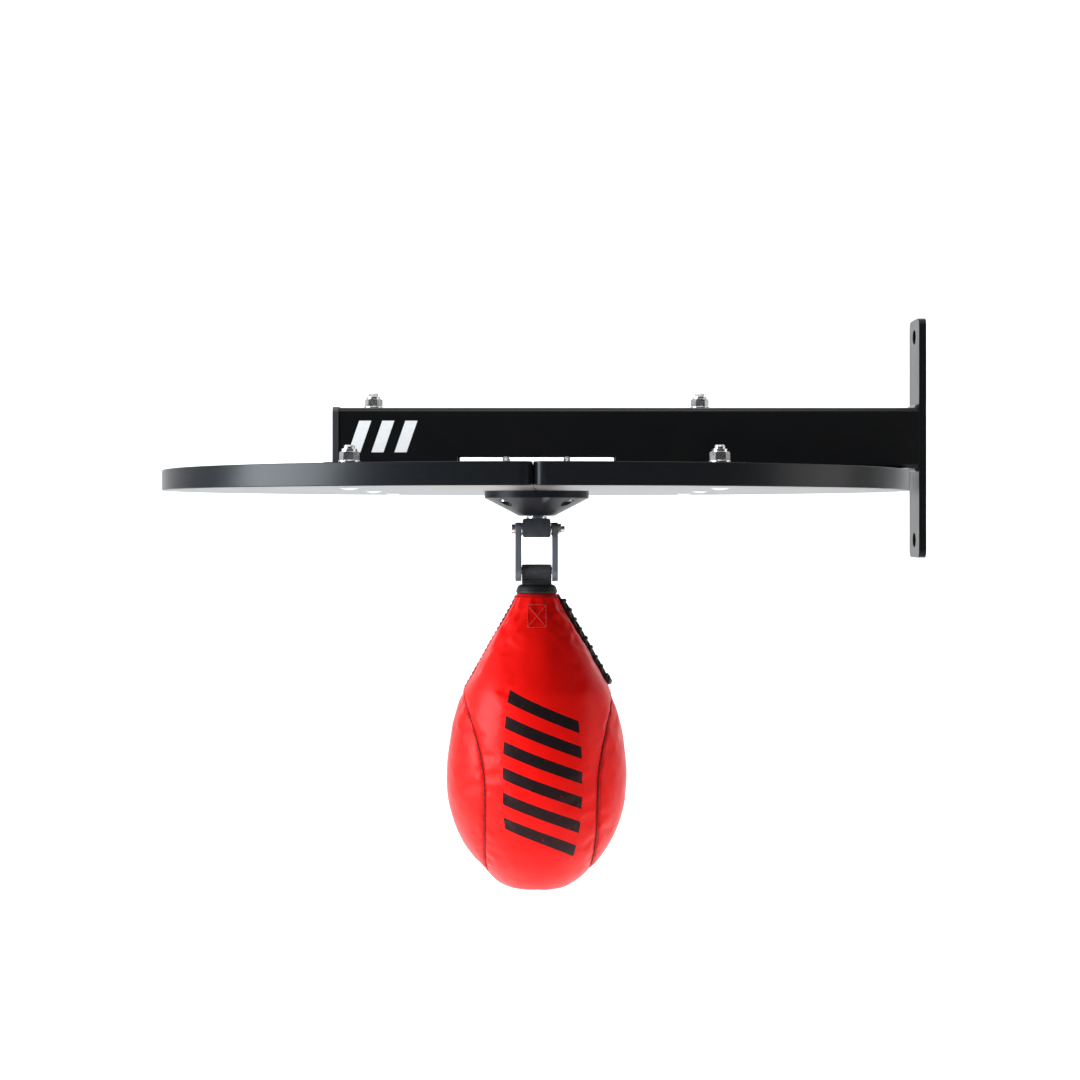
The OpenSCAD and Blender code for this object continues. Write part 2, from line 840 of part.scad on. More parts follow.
module top_collar() {
    color(leather_dark) at_swivel() difference() {
        translate([0, 0, neck_z]) rotate_extrude($fn = 96) {
            square([collar_r, collar_height - collar_round]);
            square([collar_r - collar_round, collar_height]);
            translate([collar_r - collar_round, collar_height - collar_round])
                circle(r = collar_round, $fn = 48);
        }
        translate([-web_width / 2 - loop_gap, -collar_slot / 2, neck_z - over])
            cube([web_width + 2 * loop_gap, collar_slot, collar_height + 2 * over]);
    }
}

// The bag's filled outline in (radius, height), kept a margin inside its surface
module bag_outline(margin, top) {
    foot_r = cone_foot_r - margin / cos(cone_lean);
    top_r = foot_r - (top - cone_foot) * tan(cone_lean);
    upper_r = belly_r - upper_arc_x - margin;
    lower_r = belly_r - lower_arc_x - margin;
    upper_sweep = asin(belly_drop / upper_r);
    lower_sweep = asin((base_drop - margin) / lower_r);
    upper = [for (i = [1 : belly_steps]) upper_sweep * (1 - i / belly_steps)];
    lower = [for (i = [1 : base_steps]) lower_sweep * i / base_steps];
    polygon(concat(
        [[0, top], [top_r, top], [foot_r, cone_foot]],
        [for (a = upper) [upper_arc_x + upper_r * cos(a), belly_z + upper_r * sin(a)]],
        [for (a = lower) [lower_arc_x + lower_r * cos(a), belly_z - lower_r * sin(a)]],
        [[0, base_z + margin]]
    ));
}

module bag_solid(margin, top) {
    rotate_extrude($fn = 128) bag_outline(margin, top);
}

module bag_shell() {
    difference() {
        bag_solid(0, neck_z);
        bag_solid(leather_thick, neck_z + over);
    }
}

// The outline of both side panels, run through the whole bag along X
module side_lens(from, length, margin) {
    intersection() {
        translate([0, lens_shift, side_z]) lie_x(from) cylinder(r = lens_r - margin, h = length, $fn = 180);
        translate([0, -lens_shift, side_z]) lie_x(from) cylinder(r = lens_r - margin, h = length, $fn = 180);
    }
}

module turned_bag() {
    at_swivel() rotate([0, 0, bag_turn]) children();
}

// Places children on the cone's surface: local -Z runs down the slit, +X is outward
module on_slit(along) {
    turned_bag() translate([bag_neck_r, 0, neck_z]) rotate([0, -cone_lean, 0])
        translate([0, 0, -along]) children();
}

module main_panel(side) {
    color(leather_red) difference() {
        turned_bag() intersection() {
            bag_shell();
            translate([-2 * belly_r, side > 0 ? 0 : -2 * belly_r, base_z - over])
                cube([4 * belly_r, 2 * belly_r, 4 * belly_r]);
        }
        turned_bag() side_lens(-2 * belly_r, 4 * belly_r, 0);
        on_slit(slit_start + slit_length) translate([-4 * leather_thick, -slit_width / 2, 0])
            cube([8 * leather_thick, slit_width, slit_length]);
    }
}

module front_panel() {
    main_panel(-1);
}

module back_panel() {
    main_panel(1);
}

module side_panel(turn) {
    color(leather_red) turned_bag() rotate([0, 0, turn]) intersection() {
        bag_shell();
        side_lens(-2 * belly_r, 2 * belly_r, panel_gap);
    }
}

module left_side_panel() {
    side_panel(0);
}

module right_side_panel() {
    side_panel(180);
}

module slit_binding() {
    lift = 0.3;
    color(leather_dark) on_slit(slit_start + slit_length) difference() {
        translate([lift, -slit_width / 2 - binding_width, -binding_width])
            cube([binding_thick, slit_width + 2 * binding_width, slit_length + 1.5 * binding_width]);
        translate([-over, -slit_width / 2, 0]) cube([2 * binding_thick + over, slit_width, slit_length]);
    }
}

module slit_tongue() {
    near = leather_thick + 0.2;
    top = neck_z - slit_start + over;
    color(leather_dark) turned_bag() rotate([0, 0, -tongue_angle])
        rotate_extrude(angle = 2 * tongue_angle, $fn = 128)
        difference() {
            bag_outline(near, top);
            bag_outline(near + tongue_thick, top + over);
            translate([-over, base_z - over]) square([2 * belly_r, cone_foot - base_z + over]);
        }
}

module lace_run(from, to) {
    step = to - from;
    length = norm(step);
    translate(from) rotate([0, acos(step.z / length), atan2(step.y, step.x)])
        cylinder(r = lace_r, h = length, $fn = 32);
    for (end = [from, to]) translate(end) sphere(r = lace_r, $fn = 32);
}

module bag_lace() {
    height = lace_lift + lace_r;
    last_z = -(crossing_count - 1) * lace_pitch;
    color(webbing_black) on_slit(slit_start + 3) {
        for (i = [0 : crossing_count - 1])
            lace_run([height, -lace_reach, -i * lace_pitch], [height, lace_reach, -i * lace_pitch]);
        for (i = [0 : crossing_count - 2]) {
            y = (i % 2 == 0 ? 1 : -1) * lace_reach;
            lace_run([height, y, -i * lace_pitch], [height, y, -(i + 1) * lace_pitch]);
        }
        translate([height, 0, last_z - lace_r]) sphere(r = lace_knot_r, $fn = 48);
    }
}

module bladder() {
    outer = leather_thick + bladder_gap;
    color(rubber_tan) difference() {
        turned_bag() difference() {
            bag_solid(outer, bladder_top);
            bag_solid(outer + bladder_thick, bladder_top - bladder_thick);
        }
        on_slit(valve_along) lie_x(-outer - valve_plug_length)
            cylinder(r = valve_plug_r, h = valve_plug_length + outer, $fn = 48);
    }
}

module bladder_valve() {
    face = leather_thick + bladder_gap;
    flange_lift = 0.05;
    color(leather_dark) on_slit(valve_along) {
        lie_x(-face - valve_plug_length)
            cylinder(r = valve_plug_r, h = valve_plug_length + flange_lift, $fn = 48);
        lie_x(-face + flange_lift) cylinder(r = valve_flange_r, h = valve_flange_thick, $fn = 48);
    }
}

wall_plate();
support_arm();
arm_welds();
arm_end_cap();
outer_cross_bar();
wall_side_cross_bar();
outer_board_half();
wall_side_board_half();
outer_edge_band();
wall_side_edge_band();
board_bolts();
board_washers();
board_nuts();
arm_bolts();
arm_washers();
arm_nuts();
swivel_flange();
swivel_screws();
swivel_washers();
swivel_nuts();
lower_race();
bearing_balls();
bearing_cage();
upper_race();
swivel_spindle();
spindle_washer();
spindle_nut();
neck_washer();
swivel_block();
block_bushings();
left_link();
right_link();
pivot_bolt();
pivot_nut();
pivot_spacers();
loop_pin();
webbing_loop();
top_collar();
front_panel();
back_panel();
left_side_panel();
right_side_panel();
slit_binding();
slit_tongue();
bag_lace();
bladder();
bladder_valve();
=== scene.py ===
"""Looks for the speed bag platform: wall bracket, round rebound board, swivel and laced leather bag."""
import math
import random

import bpy
import numpy as np
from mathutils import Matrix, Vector, noise


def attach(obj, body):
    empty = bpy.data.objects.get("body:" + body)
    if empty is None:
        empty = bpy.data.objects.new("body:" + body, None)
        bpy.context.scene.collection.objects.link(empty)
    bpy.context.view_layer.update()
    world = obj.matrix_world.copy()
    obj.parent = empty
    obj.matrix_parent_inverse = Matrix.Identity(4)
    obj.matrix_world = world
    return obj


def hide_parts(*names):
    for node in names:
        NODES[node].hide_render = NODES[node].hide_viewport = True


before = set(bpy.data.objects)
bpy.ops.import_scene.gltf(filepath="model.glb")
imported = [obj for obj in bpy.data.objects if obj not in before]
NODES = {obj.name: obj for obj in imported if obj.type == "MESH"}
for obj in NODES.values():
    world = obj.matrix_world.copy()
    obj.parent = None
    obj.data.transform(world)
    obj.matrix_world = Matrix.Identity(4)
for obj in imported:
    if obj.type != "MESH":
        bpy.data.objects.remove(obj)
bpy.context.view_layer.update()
MM = 0.001
# The upright axis that the swivel turns on and the bag hangs from.
BAG_X = -321 * MM

# ---------------------------------------------------------------- camera

CAM_FOCAL = 56.8
cam_data = bpy.data.cameras.new("camera")
cam_data.sensor_width = 36.0
cam_data.lens = CAM_FOCAL
cam_data.shift_x = -0.0107
cam_data.shift_y = -0.0241
cam_data.clip_end = 50.0
camera = bpy.data.objects.new("camera", cam_data)
camera.location = (-0.3086, -1.422, -0.0628)
camera.rotation_euler = (math.radians(90), 0, 0)
bpy.context.scene.collection.objects.link(camera)
bpy.context.scene.camera = camera

# ---------------------------------------------------------------- material kit


def with_alpha(value):
    """A colour as a socket takes it: another node's output, or red, green, blue and alpha."""
    return value if isinstance(value, bpy.types.NodeSocket) else (*value, 1)


class Nodes:
    """A small builder for procedural node materials."""

    def __init__(self, name):
        self.mat = bpy.data.materials.new(name)
        self.mat.use_nodes = True
        self.tree = self.mat.node_tree
        self.tree.nodes.clear()
        self.out = self.tree.nodes.new("ShaderNodeOutputMaterial")
        self.bsdf = self.tree.nodes.new("ShaderNodeBsdfPrincipled")
        self.link(self.bsdf.outputs[0], self.out.inputs[0])
        self.height = None

    def link(self, a, b):
        self.tree.links.new(a, b)

    def put(self, socket, value):
        if isinstance(value, bpy.types.NodeSocket):
            self.link(value, socket)
        else:
            socket.default_value = value

    def node(self, kind, ins=None, **attrs):
        n = self.tree.nodes.new(kind)
        for k, v in attrs.items():
            setattr(n, k, v)
        for k, v in (ins or {}).items():
            self.put(n.inputs[k], v)
        return n

    def coords(self):
        return self.node("ShaderNodeTexCoord").outputs["Object"]

    def uv(self, name):
        return self.node("ShaderNodeUVMap", uv_map=name).outputs[0]

    def scaled(self, vec, scale, rot=(0, 0, 0)):
        return self.node("ShaderNodeMapping", {0: vec, 2: rot, 3: scale}).outputs[0]

    def noise(self, vec, scale, detail=3.0, rough=0.5):
        ins = {"Vector": vec, "Scale": scale, "Detail": detail, "Roughness": rough}
        return self.node("ShaderNodeTexNoise", ins).outputs[0]

    def voronoi(self, vec, scale, feature="DISTANCE_TO_EDGE"):
        return self.node("ShaderNodeTexVoronoi", {"Vector": vec, "Scale": scale}, feature=feature).outputs[0]

    def wave(self, vec, scale, axis="X"):
        return self.node("ShaderNodeTexWave", {"Vector": vec, "Scale": scale, "Distortion": 0.0},
                         wave_type="BANDS", bands_direction=axis, wave_profile="SIN").outputs["Fac"]

    def math(self, op, a, b=0.0, c=0.0):
        return self.node("ShaderNodeMath", {0: a, 1: b, 2: c}, operation=op).outputs[0]

    def ramp(self, fac, stops):
        n = self.node("ShaderNodeValToRGB", {0: fac})
        e = n.color_ramp.elements
        while len(e) < len(stops):
            e.new(0.5)
        for el, (pos, col) in zip(e, stops):
            el.position = pos
            el.color = (*col, 1)
        return n.outputs[0]

    def grey(self, fac, lo, hi):
        """Maps 0..1 to lo..hi as a plain number."""
        return self.node("ShaderNodeMapRange", {0: fac, 3: lo, 4: hi}).outputs[0]

    def mix(self, fac, a, b):
        n = self.node("ShaderNodeMix", data_type="RGBA")
        self.put(n.inputs[0], fac)
        self.put(n.inputs[6], with_alpha(a))
        self.put(n.inputs[7], with_alpha(b))
        return n.outputs[2]

    def bump(self, height, strength, distance):
        n = self.node("ShaderNodeBump", {"Height": height, "Strength": strength, "Distance": distance})
        if self.height is not None:
            self.link(self.height, n.inputs["Normal"])
        self.height = n.outputs[0]

    def split(self, vec):
        return self.node("ShaderNodeSeparateXYZ", {0: vec}).outputs

    def join(self, x, y, z):
        return self.node("ShaderNodeCombineXYZ", {0: x, 1: y, 2: z}).outputs[0]

    def edge_wear(self, lo=0.52, hi=0.6):
        point = self.node("ShaderNodeNewGeometry").outputs["Pointiness"]
        return self.node("ShaderNodeMapRange", {0: point, 1: lo, 2: hi}).outputs[0]

    def done(self, color, rough, **fixed):
        self.put(self.bsdf.inputs["Base Color"], with_alpha(color))
        self.put(self.bsdf.inputs["Roughness"], rough)
        for k, v in fixed.items():
            self.bsdf.inputs[k.replace("_", " ")].default_value = v
        if self.height is not None:
            self.link(self.height, self.bsdf.inputs["Normal"])
        return self.mat


def powder_coat():
    m = Nodes("powder_coat")
    p = m.coords()
    wear = m.math("MULTIPLY", m.edge_wear(0.56, 0.66), m.noise(p, 160, 4, 0.6))
    col = m.mix(m.noise(p, 35, 3), (0.0035, 0.0035, 0.0038), (0.0065, 0.0065, 0.0070))
    col = m.mix(m.math("MULTIPLY", wear, 0.25), col, (0.06, 0.06, 0.062))
    m.bump(m.noise(p, 700, 2), 0.05, 0.00012)
    return m.done(col, m.grey(m.noise(p, 120, 3), 0.26, 0.32), Specular_IOR_Level=0.15)


def cap_plastic():
    m = Nodes("cap_plastic")
    p = m.coords()
    col = m.mix(m.noise(p, 90, 3), (0.012, 0.011, 0.015), (0.024, 0.023, 0.029))
    m.bump(m.noise(p, 1500, 2), 0.25, 0.0001)
    return m.done(col, m.grey(m.noise(p, 300, 2), 0.42, 0.55), Specular_IOR_Level=0.45)


def laminate():
    m = Nodes("laminate")
    p = m.coords()
    grain = m.noise(m.scaled(p, (40, 420, 40)), 1.0, 4, 0.6)
    col = m.mix(grain, (0.007, 0.007, 0.008), (0.017, 0.017, 0.019))
    m.bump(grain, 0.10, 0.00012)
    m.bump(m.voronoi(p, 900, "F1"), 0.06, 0.0001)
    return m.done(col, m.grey(grain, 0.30, 0.40), Specular_IOR_Level=0.55)


def edge_band():
    m = Nodes("edge_band")
    p = m.coords()
    s = m.split(p)
    angle = m.math("ARCTAN2", s[1], m.math("ADD", s[0], -BAG_X))
    fine = m.noise(m.join(m.math("MULTIPLY", angle, 6.0), m.math("MULTIPLY", s[2], 260.0), 0.0), 6, 4, 0.6)
    col = m.mix(fine, (0.0035, 0.004, 0.005), (0.009, 0.010, 0.012))
    m.bump(fine, 0.22, 0.00022)
    m.bump(m.noise(p, 1300, 2), 0.18, 0.0001)
    return m.done(col, m.grey(fine, 0.25, 0.33), Specular_IOR_Level=0.16)


THREAD_PITCH = 0.00125


def zinc(name="zinc", thread_top=None):
    """Zinc plate. Above the height thread_top, in metres, it carries a screw thread, with painted shade in
    the thread's roots.
    """
    m = Nodes(name)
    p = m.coords()
    tint = m.noise(p, 180, 3, 0.6)
    col = m.ramp(tint, [(0.25, (0.46, 0.49, 0.53)), (0.5, (0.60, 0.61, 0.61)), (0.75, (0.66, 0.64, 0.57))])
    m.bump(m.noise(p, 1100, 3), 0.12, 0.0001)
    if thread_top is not None:
        along = m.split(p)[2]
        turns = m.math("FRACT", m.math("MULTIPLY", along, 1 / THREAD_PITCH))
        ridge = m.math("ABSOLUTE", m.math("SUBTRACT", turns, 0.5))
        mask = m.math("GREATER_THAN", along, thread_top)
        m.bump(m.math("MULTIPLY", ridge, mask), 1.0, 0.0009)
        # Painted shade: the thread's roots are darkened, standing in for the shadow between the turns.
        dark = m.math("MULTIPLY", m.math("LESS_THAN", ridge, 0.16), mask)
        col = m.mix(m.math("MULTIPLY", dark, 0.65), col, (0.10, 0.10, 0.11))
    return m.done(col, m.grey(m.noise(p, 300, 3), 0.20, 0.36), Metallic=1.0)


def ground_steel():
    m = Nodes("bearing_steel")
    p = m.coords()
    lines = m.noise(m.scaled(p, (150, 2600, 2600)), 1.0, 3, 0.6)
    col = m.mix(lines, (0.46, 0.47, 0.49), (0.66, 0.67, 0.69))
    m.bump(lines, 0.12, 0.00008)
    return m.done(col, m.grey(lines, 0.16, 0.30), Metallic=1.0)


def cast_paint(name, lo, hi, rough, spec=0.5):
    m = Nodes(name)
    p = m.coords()
    wear = m.math("MULTIPLY", m.edge_wear(), m.noise(p, 260, 4, 0.65))
    col = m.mix(m.noise(p, 120, 4), lo, hi)
    col = m.mix(m.math("MULTIPLY", wear, 0.7), col, (0.22, 0.22, 0.23))
    m.bump(m.noise(p, 900, 4, 0.6), 0.30, 0.00022)
    m.bump(m.noise(p, 130, 2), 0.12, 0.0007)
    return m.done(col, m.grey(m.noise(p, 340, 3), rough, rough + 0.14), Specular_IOR_Level=spec)


def bronze():
    m = Nodes("bronze")
    p = m.coords()
    col = m.mix(m.noise(p, 300, 4), (0.42, 0.27, 0.12), (0.62, 0.43, 0.22))
    m.bump(m.noise(p, 1600, 2), 0.2, 0.0001)
    return m.done(col, m.grey(m.noise(p, 200, 2), 0.28, 0.42), Metallic=1.0)


def webbing():
    """Woven webbing: the map runs across the strap and along it, in metres."""
    m = Nodes("webbing")
    uv = m.split(m.uv("strap"))
    across = m.math("MULTIPLY", uv[0], 1 / 0.0016)
    along = m.math("MULTIPLY", uv[1], 1 / 0.0011)
    shift = m.math("MULTIPLY", m.math("FLOOR", across), 0.5)
    a = m.math("ABSOLUTE", m.math("SUBTRACT", m.math("FRACT", across), 0.5))
    b = m.math("ABSOLUTE", m.math("SUBTRACT", m.math("FRACT", m.math("ADD", along, shift)), 0.5))
    h = m.math("SUBTRACT", 1.0, m.math("ADD", m.math("MULTIPLY", a, a), m.math("MULTIPLY", b, b)))
    fuzz = m.noise(m.coords(), 2600, 3)
    col = m.mix(h, (0.005, 0.005, 0.006), (0.040, 0.040, 0.044))
    col = m.mix(m.math("MULTIPLY", fuzz, 0.4), col, (0.055, 0.055, 0.06))
    m.bump(h, 1.0, 0.0006)
    m.bump(fuzz, 0.35, 0.0002)
    return m.done(col, 0.72, Sheen_Weight=0.35, Sheen_Roughness=0.4)


def lace_cord():
    m = Nodes("lace_cord")
    p = m.coords()
    braid = m.math("MULTIPLY", m.wave(m.scaled(p, (1, 1, 1), (0.6, 0.0, 0.5)), 260, "Y"),
                   m.wave(m.scaled(p, (1, 1, 1), (-0.6, 0.0, -0.5)), 260, "Y"))
    col = m.mix(braid, (0.004, 0.004, 0.005), (0.028, 0.028, 0.031))
    m.bump(braid, 0.9, 0.0004)
    m.bump(m.noise(p, 2400, 2), 0.3, 0.0001)
    return m.done(col, 0.6, Sheen_Weight=0.2)


# Slanted bars on the bag's front: their slope, half width, pitch, count, mean radius and middle height.
MARK_SLANT, MARK_HALF_WIDE, MARK_PITCH, MARK_BARS = 0.40, 0.031, 0.0200, 6
MARK_R, MARK_Z = 0.070, -0.2657


def leather(name, lo, hi, rough, mark=False, pores=1.0):
    m = Nodes(name)
    p = m.coords()
    cells = m.voronoi(p, 900)
    big = m.noise(p, 22, 4, 0.6)
    fine = m.noise(p, 700, 4, 0.6)
    col = m.mix(big, lo, hi)
    pore = m.node("ShaderNodeMapRange", {0: cells, 1: 0.0, 2: 0.12, 3: 1.0, 4: 0.0}).outputs[0]
    dark = tuple(c * 0.55 for c in lo)
    col = m.mix(m.math("MULTIPLY", pore, 0.35), col, dark)
    # Painted shade: the leather is darkened towards the seams, standing in for the shadow in the seam
    # valleys.
    seam = m.node("ShaderNodeAttribute", attribute_name="seam").outputs["Fac"]
    col = m.mix(m.math("MULTIPLY", seam, 0.42), col, tuple(c * 0.30 for c in lo))
    if mark:
        uv = m.split(m.uv("mark"))
        slant = m.math("ADD", uv[1], m.math("MULTIPLY", uv[0], MARK_SLANT))
        inside = m.math("MULTIPLY", m.math("LESS_THAN", m.math("ABSOLUTE", uv[0]), MARK_HALF_WIDE),
                        m.math("LESS_THAN", m.math("ABSOLUTE", slant), MARK_BARS * MARK_PITCH / 2))
        bars = m.math("LESS_THAN", m.math("FRACT", m.math("DIVIDE", slant, MARK_PITCH)), 0.48)
        worn = m.node("ShaderNodeMapRange", {0: m.noise(p, 420, 4, 0.7), 1: 0.24, 2: 0.34}).outputs[0]
        ink = m.math("MULTIPLY", m.math("MULTIPLY", inside, bars), worn)
        col = m.mix(ink, col, (0.006, 0.006, 0.007))
    m.bump(cells, 0.30 * pores, 0.00022)
    m.bump(fine, 0.12, 0.00025)
    m.bump(m.noise(p, 90, 3), 0.12, 0.0012)
    return m.done(col, m.grey(m.noise(p, 140, 3), rough, rough + 0.12), Specular_IOR_Level=0.27,
                  Specular_Tint=(*(0.35 + 0.65 * c / max(hi) for c in hi), 1.0))


def thread(name, lo, hi):
    m = Nodes(name)
    p = m.coords()
    twist = m.wave(m.scaled(p, (1, 1, 1), (0.5, 0.4, 0.6)), 900, "X")
    m.bump(twist, 0.6, 0.00015)
    return m.done(m.mix(twist, lo, hi), 0.65, Specular_IOR_Level=0.25)


def rubber(name, lo, hi):
    m = Nodes(name)
    p = m.coords()
    m.bump(m.noise(p, 500, 4), 0.3, 0.0003)
    return m.done(m.mix(m.noise(p, 60, 4), lo, hi), m.grey(m.noise(p, 200, 2), 0.55, 0.72))


def paint_mark():
    m = Nodes("mark_paint")
    p = m.coords()
    m.bump(m.noise(p, 900, 3), 0.15, 0.0001)
    col = m.mix(m.noise(p, 300, 4), (0.66, 0.66, 0.67), (0.80, 0.80, 0.80))
    return m.done(col, m.grey(m.noise(p, 200, 2), 0.35, 0.5))


RED_LO, RED_HI = (0.76, 0.0030, 0.0020), (0.88, 0.0070, 0.0040)
M = {
    "powder": powder_coat(), "cap": cap_plastic(), "laminate": laminate(), "band": edge_band(),
    "zinc": zinc(), "board_stud": zinc("zinc_board_stud", -0.0135), "arm_stud": zinc("zinc_arm_stud", 0.0348),
    "screw_stud": zinc("zinc_screw_stud", -0.0225), "steel": ground_steel(),
    "swivel": cast_paint("swivel_paint", (0.004, 0.0045, 0.006), (0.009, 0.010, 0.013), 0.30, 0.17),
    "block": cast_paint("block_paint", (0.009, 0.012, 0.016), (0.020, 0.025, 0.032), 0.34, 0.36),
    "link": cast_paint("link_paint", (0.090, 0.098, 0.118), (0.130, 0.140, 0.165), 0.36, 0.6),
    "bronze": bronze(), "webbing": webbing(), "lace": lace_cord(),
    "red": leather("red_leather", RED_LO, RED_HI, 0.34),
    "red_mark": leather("red_leather_marked", RED_LO, RED_HI, 0.34, mark=True),
    "black_leather": leather("black_leather", (0.008, 0.008, 0.009), (0.020, 0.019, 0.020), 0.42, pores=1.3),
    "thread_dark": thread("thread_dark", (0.170, 0.006, 0.008), (0.320, 0.020, 0.022)),
    "thread_black": thread("thread_black", (0.010, 0.010, 0.012), (0.035, 0.035, 0.040)),
    "thread_pale": thread("thread_pale", (0.46, 0.022, 0.020), (0.62, 0.060, 0.052)),
    "bladder": rubber("bladder_rubber", (0.30, 0.17, 0.09), (0.44, 0.28, 0.17)),
    "valve": rubber("valve_rubber", (0.012, 0.012, 0.013), (0.035, 0.035, 0.037)), "mark": paint_mark(),
}

# ---------------------------------------------------------------- CAD nodes: materials and edges

LOOKS = {
    "powder": ["wall_plate", "support_arm", "arm_welds", "outer_cross_bar", "wall_side_cross_bar"],
    "cap": ["arm_end_cap"],
    "laminate": ["outer_board_half", "wall_side_board_half"],
    "band": ["outer_edge_band", "wall_side_edge_band"],
    "board_stud": ["board_bolts"], "arm_stud": ["arm_bolts"], "screw_stud": ["swivel_screws"],
    "zinc": ["board_washers", "board_nuts", "arm_washers", "arm_nuts", "swivel_washers", "swivel_nuts",
             "spindle_washer", "spindle_nut", "pivot_bolt", "pivot_nut", "pivot_spacers"],
    "steel": ["lower_race", "bearing_balls", "upper_race", "swivel_spindle", "neck_washer", "loop_pin"],
    "swivel": ["swivel_flange"],
    "block": ["swivel_block"],
    "link": ["left_link", "right_link"],
    "bronze": ["bearing_cage", "block_bushings"],
    "bladder": ["bladder"], "valve": ["bladder_valve"],
}
BEVELS = {
    "wall_plate": 1.2, "support_arm": 0.5, "arm_end_cap": 1.5,
    "outer_cross_bar": 0.6, "wall_side_cross_bar": 0.6,
    "outer_board_half": 0.3, "wall_side_board_half": 0.3, "outer_edge_band": 0.6, "wall_side_edge_band": 0.6,
    "board_nuts": 0.25, "arm_nuts": 0.25, "swivel_nuts": 0.2, "board_washers": 0.3, "arm_washers": 0.3,
    "swivel_washers": 0.2, "swivel_flange": 0.8, "swivel_block": 0.9, "left_link": 0.7, "right_link": 0.7,
    "pivot_bolt": 0.35, "pivot_nut": 0.3, "pivot_spacers": 0.2, "neck_washer": 0.3, "loop_pin": 0.3,
    "swivel_screws": 0.3, "board_bolts": 0.25, "arm_bolts": 0.25,
}
for look, names in LOOKS.items():
    for name in names:
        obj = NODES[name]
        obj.data.materials.clear()
        obj.data.materials.append(M[look])
for name, width in BEVELS.items():
    obj = NODES[name]
    weld = obj.modifiers.new("weld", "WELD")
    weld.merge_threshold = 1e-5
    bevel = obj.modifiers.new("bevel", "BEVEL")
    bevel.width = width * MM
    bevel.segments = 3
    bevel.limit_method = "ANGLE"
    bevel.angle_limit = math.radians(32)
    bevel.use_clamp_overlap = True
    normals = obj.modifiers.new("normals", "WEIGHTED_NORMAL")
    normals.keep_sharp = False

# ---------------------------------------------------------------- mesh helpers


def new_object(name, verts, faces, material, body, smooth=True):
    mesh = bpy.data.meshes.new(name)
    mesh.from_pydata([tuple(v) for v in verts], [], faces)
    mesh.validate()
    mesh.update()
    if smooth:
        mesh.polygons.foreach_set("use_smooth", [True] * len(mesh.polygons))
    mesh.materials.append(material)
    obj = bpy.data.objects.new(name, mesh)
    bpy.context.scene.collection.objects.link(obj)
    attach(obj, body)
    return obj


def frames_along(points):
    """Tangent, side and normal at each point of a path, turned as little as possible from one to the next."""
    pts = [Vector(p) for p in points]
    out = []
    last = None
    for i, p in enumerate(pts):
        t = (pts[min(i + 1, len(pts) - 1)] - pts[max(i - 1, 0)]).normalized()
        if last is None:
            last = Vector((0, 0, 1)) if abs(t.z) < 0.9 else Vector((1, 0, 0))
        n = (last - t * last.dot(t)).normalized()
        out.append((p, t, t.cross(n), n))
        last = n
    return out


def tube(points, radius, sides, verts, faces):
    """Adds a tube along points to verts and faces. radius is a number or one for each point."""
    base = len(verts)
    rings = frames_along(points)
    for i, (p, _, s, n) in enumerate(rings):
        r = radius[i] if isinstance(radius, (list, tuple)) else radius
        for k in range(sides):
            a = 2 * math.pi * k / sides
            verts.append(p + s * (r * math.cos(a)) + n * (r * math.sin(a)))
    skin(len(rings), sides, faces, base)


def skin(count, sides, faces, base=0):
    """Adds the faces that join count rings of points, each with that many sides, and close both ends."""
    for i in range(count - 1):
        for k in range(sides):
            a, b = base + i * sides + k, base + i * sides + (k + 1) % sides
            faces.append((a, b, b + sides, a + sides))
    faces.append(tuple(base + k for k in reversed(range(sides))))
    faces.append(tuple(base + (count - 1) * sides + k for k in range(sides)))


def soften(value, power):
    """Bends a sine or cosine towards -1 and 1, which squares a round section off."""
    return math.copysign(abs(value) ** power, value)


def capsule(a, b, r, verts, faces, sides=7):
    """A short thread from a to b with rounded ends."""
    a, b = Vector(a), Vector(b)
    d = (b - a)
    pts = [a - d * 0.04, a, a + d * 0.2, a + d * 0.8, b, b + d * 0.04]
    tube(pts, [r * 0.35, r * 0.85, r, r, r * 0.85, r * 0.35], sides, verts, faces)


# ---------------------------------------------------------------- the bag's surface

# The whole bag is turned about its upright axis by this angle.
TURN = math.radians(4.5)
# Heights and radii of the bag's outline, from its neck down to its base.
NECK_Z, NECK_R = -128.5 * MM, 16.4 * MM
FOOT_Z, FOOT_R = -207.0 * MM, 60.8 * MM
BELLY_Z, BELLY_R = -283.0 * MM, 74.3 * MM
BASE_Z, BASE_R = -371.3 * MM, 27.0 * MM
# The lens-shaped side panels: the height of their middle, half their height and half their width.
LENS_Z, LENS_H, LENS_W = -284.3 * MM, 78.0 * MM, 58.0 * MM
LENS_R = (LENS_H ** 2 + LENS_W ** 2) / (2 * LENS_W)


def arc_x(r, drop):
    """The centre's radius for an arc that is upright at the belly and passes r at that drop from it."""
    return (r * r + drop * drop - BELLY_R * BELLY_R) / (2 * (r - BELLY_R))


UP_X = arc_x(FOOT_R, FOOT_Z - BELLY_Z)
LOW_X = arc_x(BASE_R, BELLY_Z - BASE_Z)


def radius_at(z):
    """The bag's radius at a height."""
    if z >= FOOT_Z:
        t = (NECK_Z - z) / (NECK_Z - FOOT_Z)
        return NECK_R + (FOOT_R - NECK_R) * t
    if z >= BELLY_Z:
        return UP_X + math.sqrt((BELLY_R - UP_X) ** 2 - (z - BELLY_Z) ** 2)
    return LOW_X + math.sqrt(max((BELLY_R - LOW_X) ** 2 - (z - BELLY_Z) ** 2, 0.0))


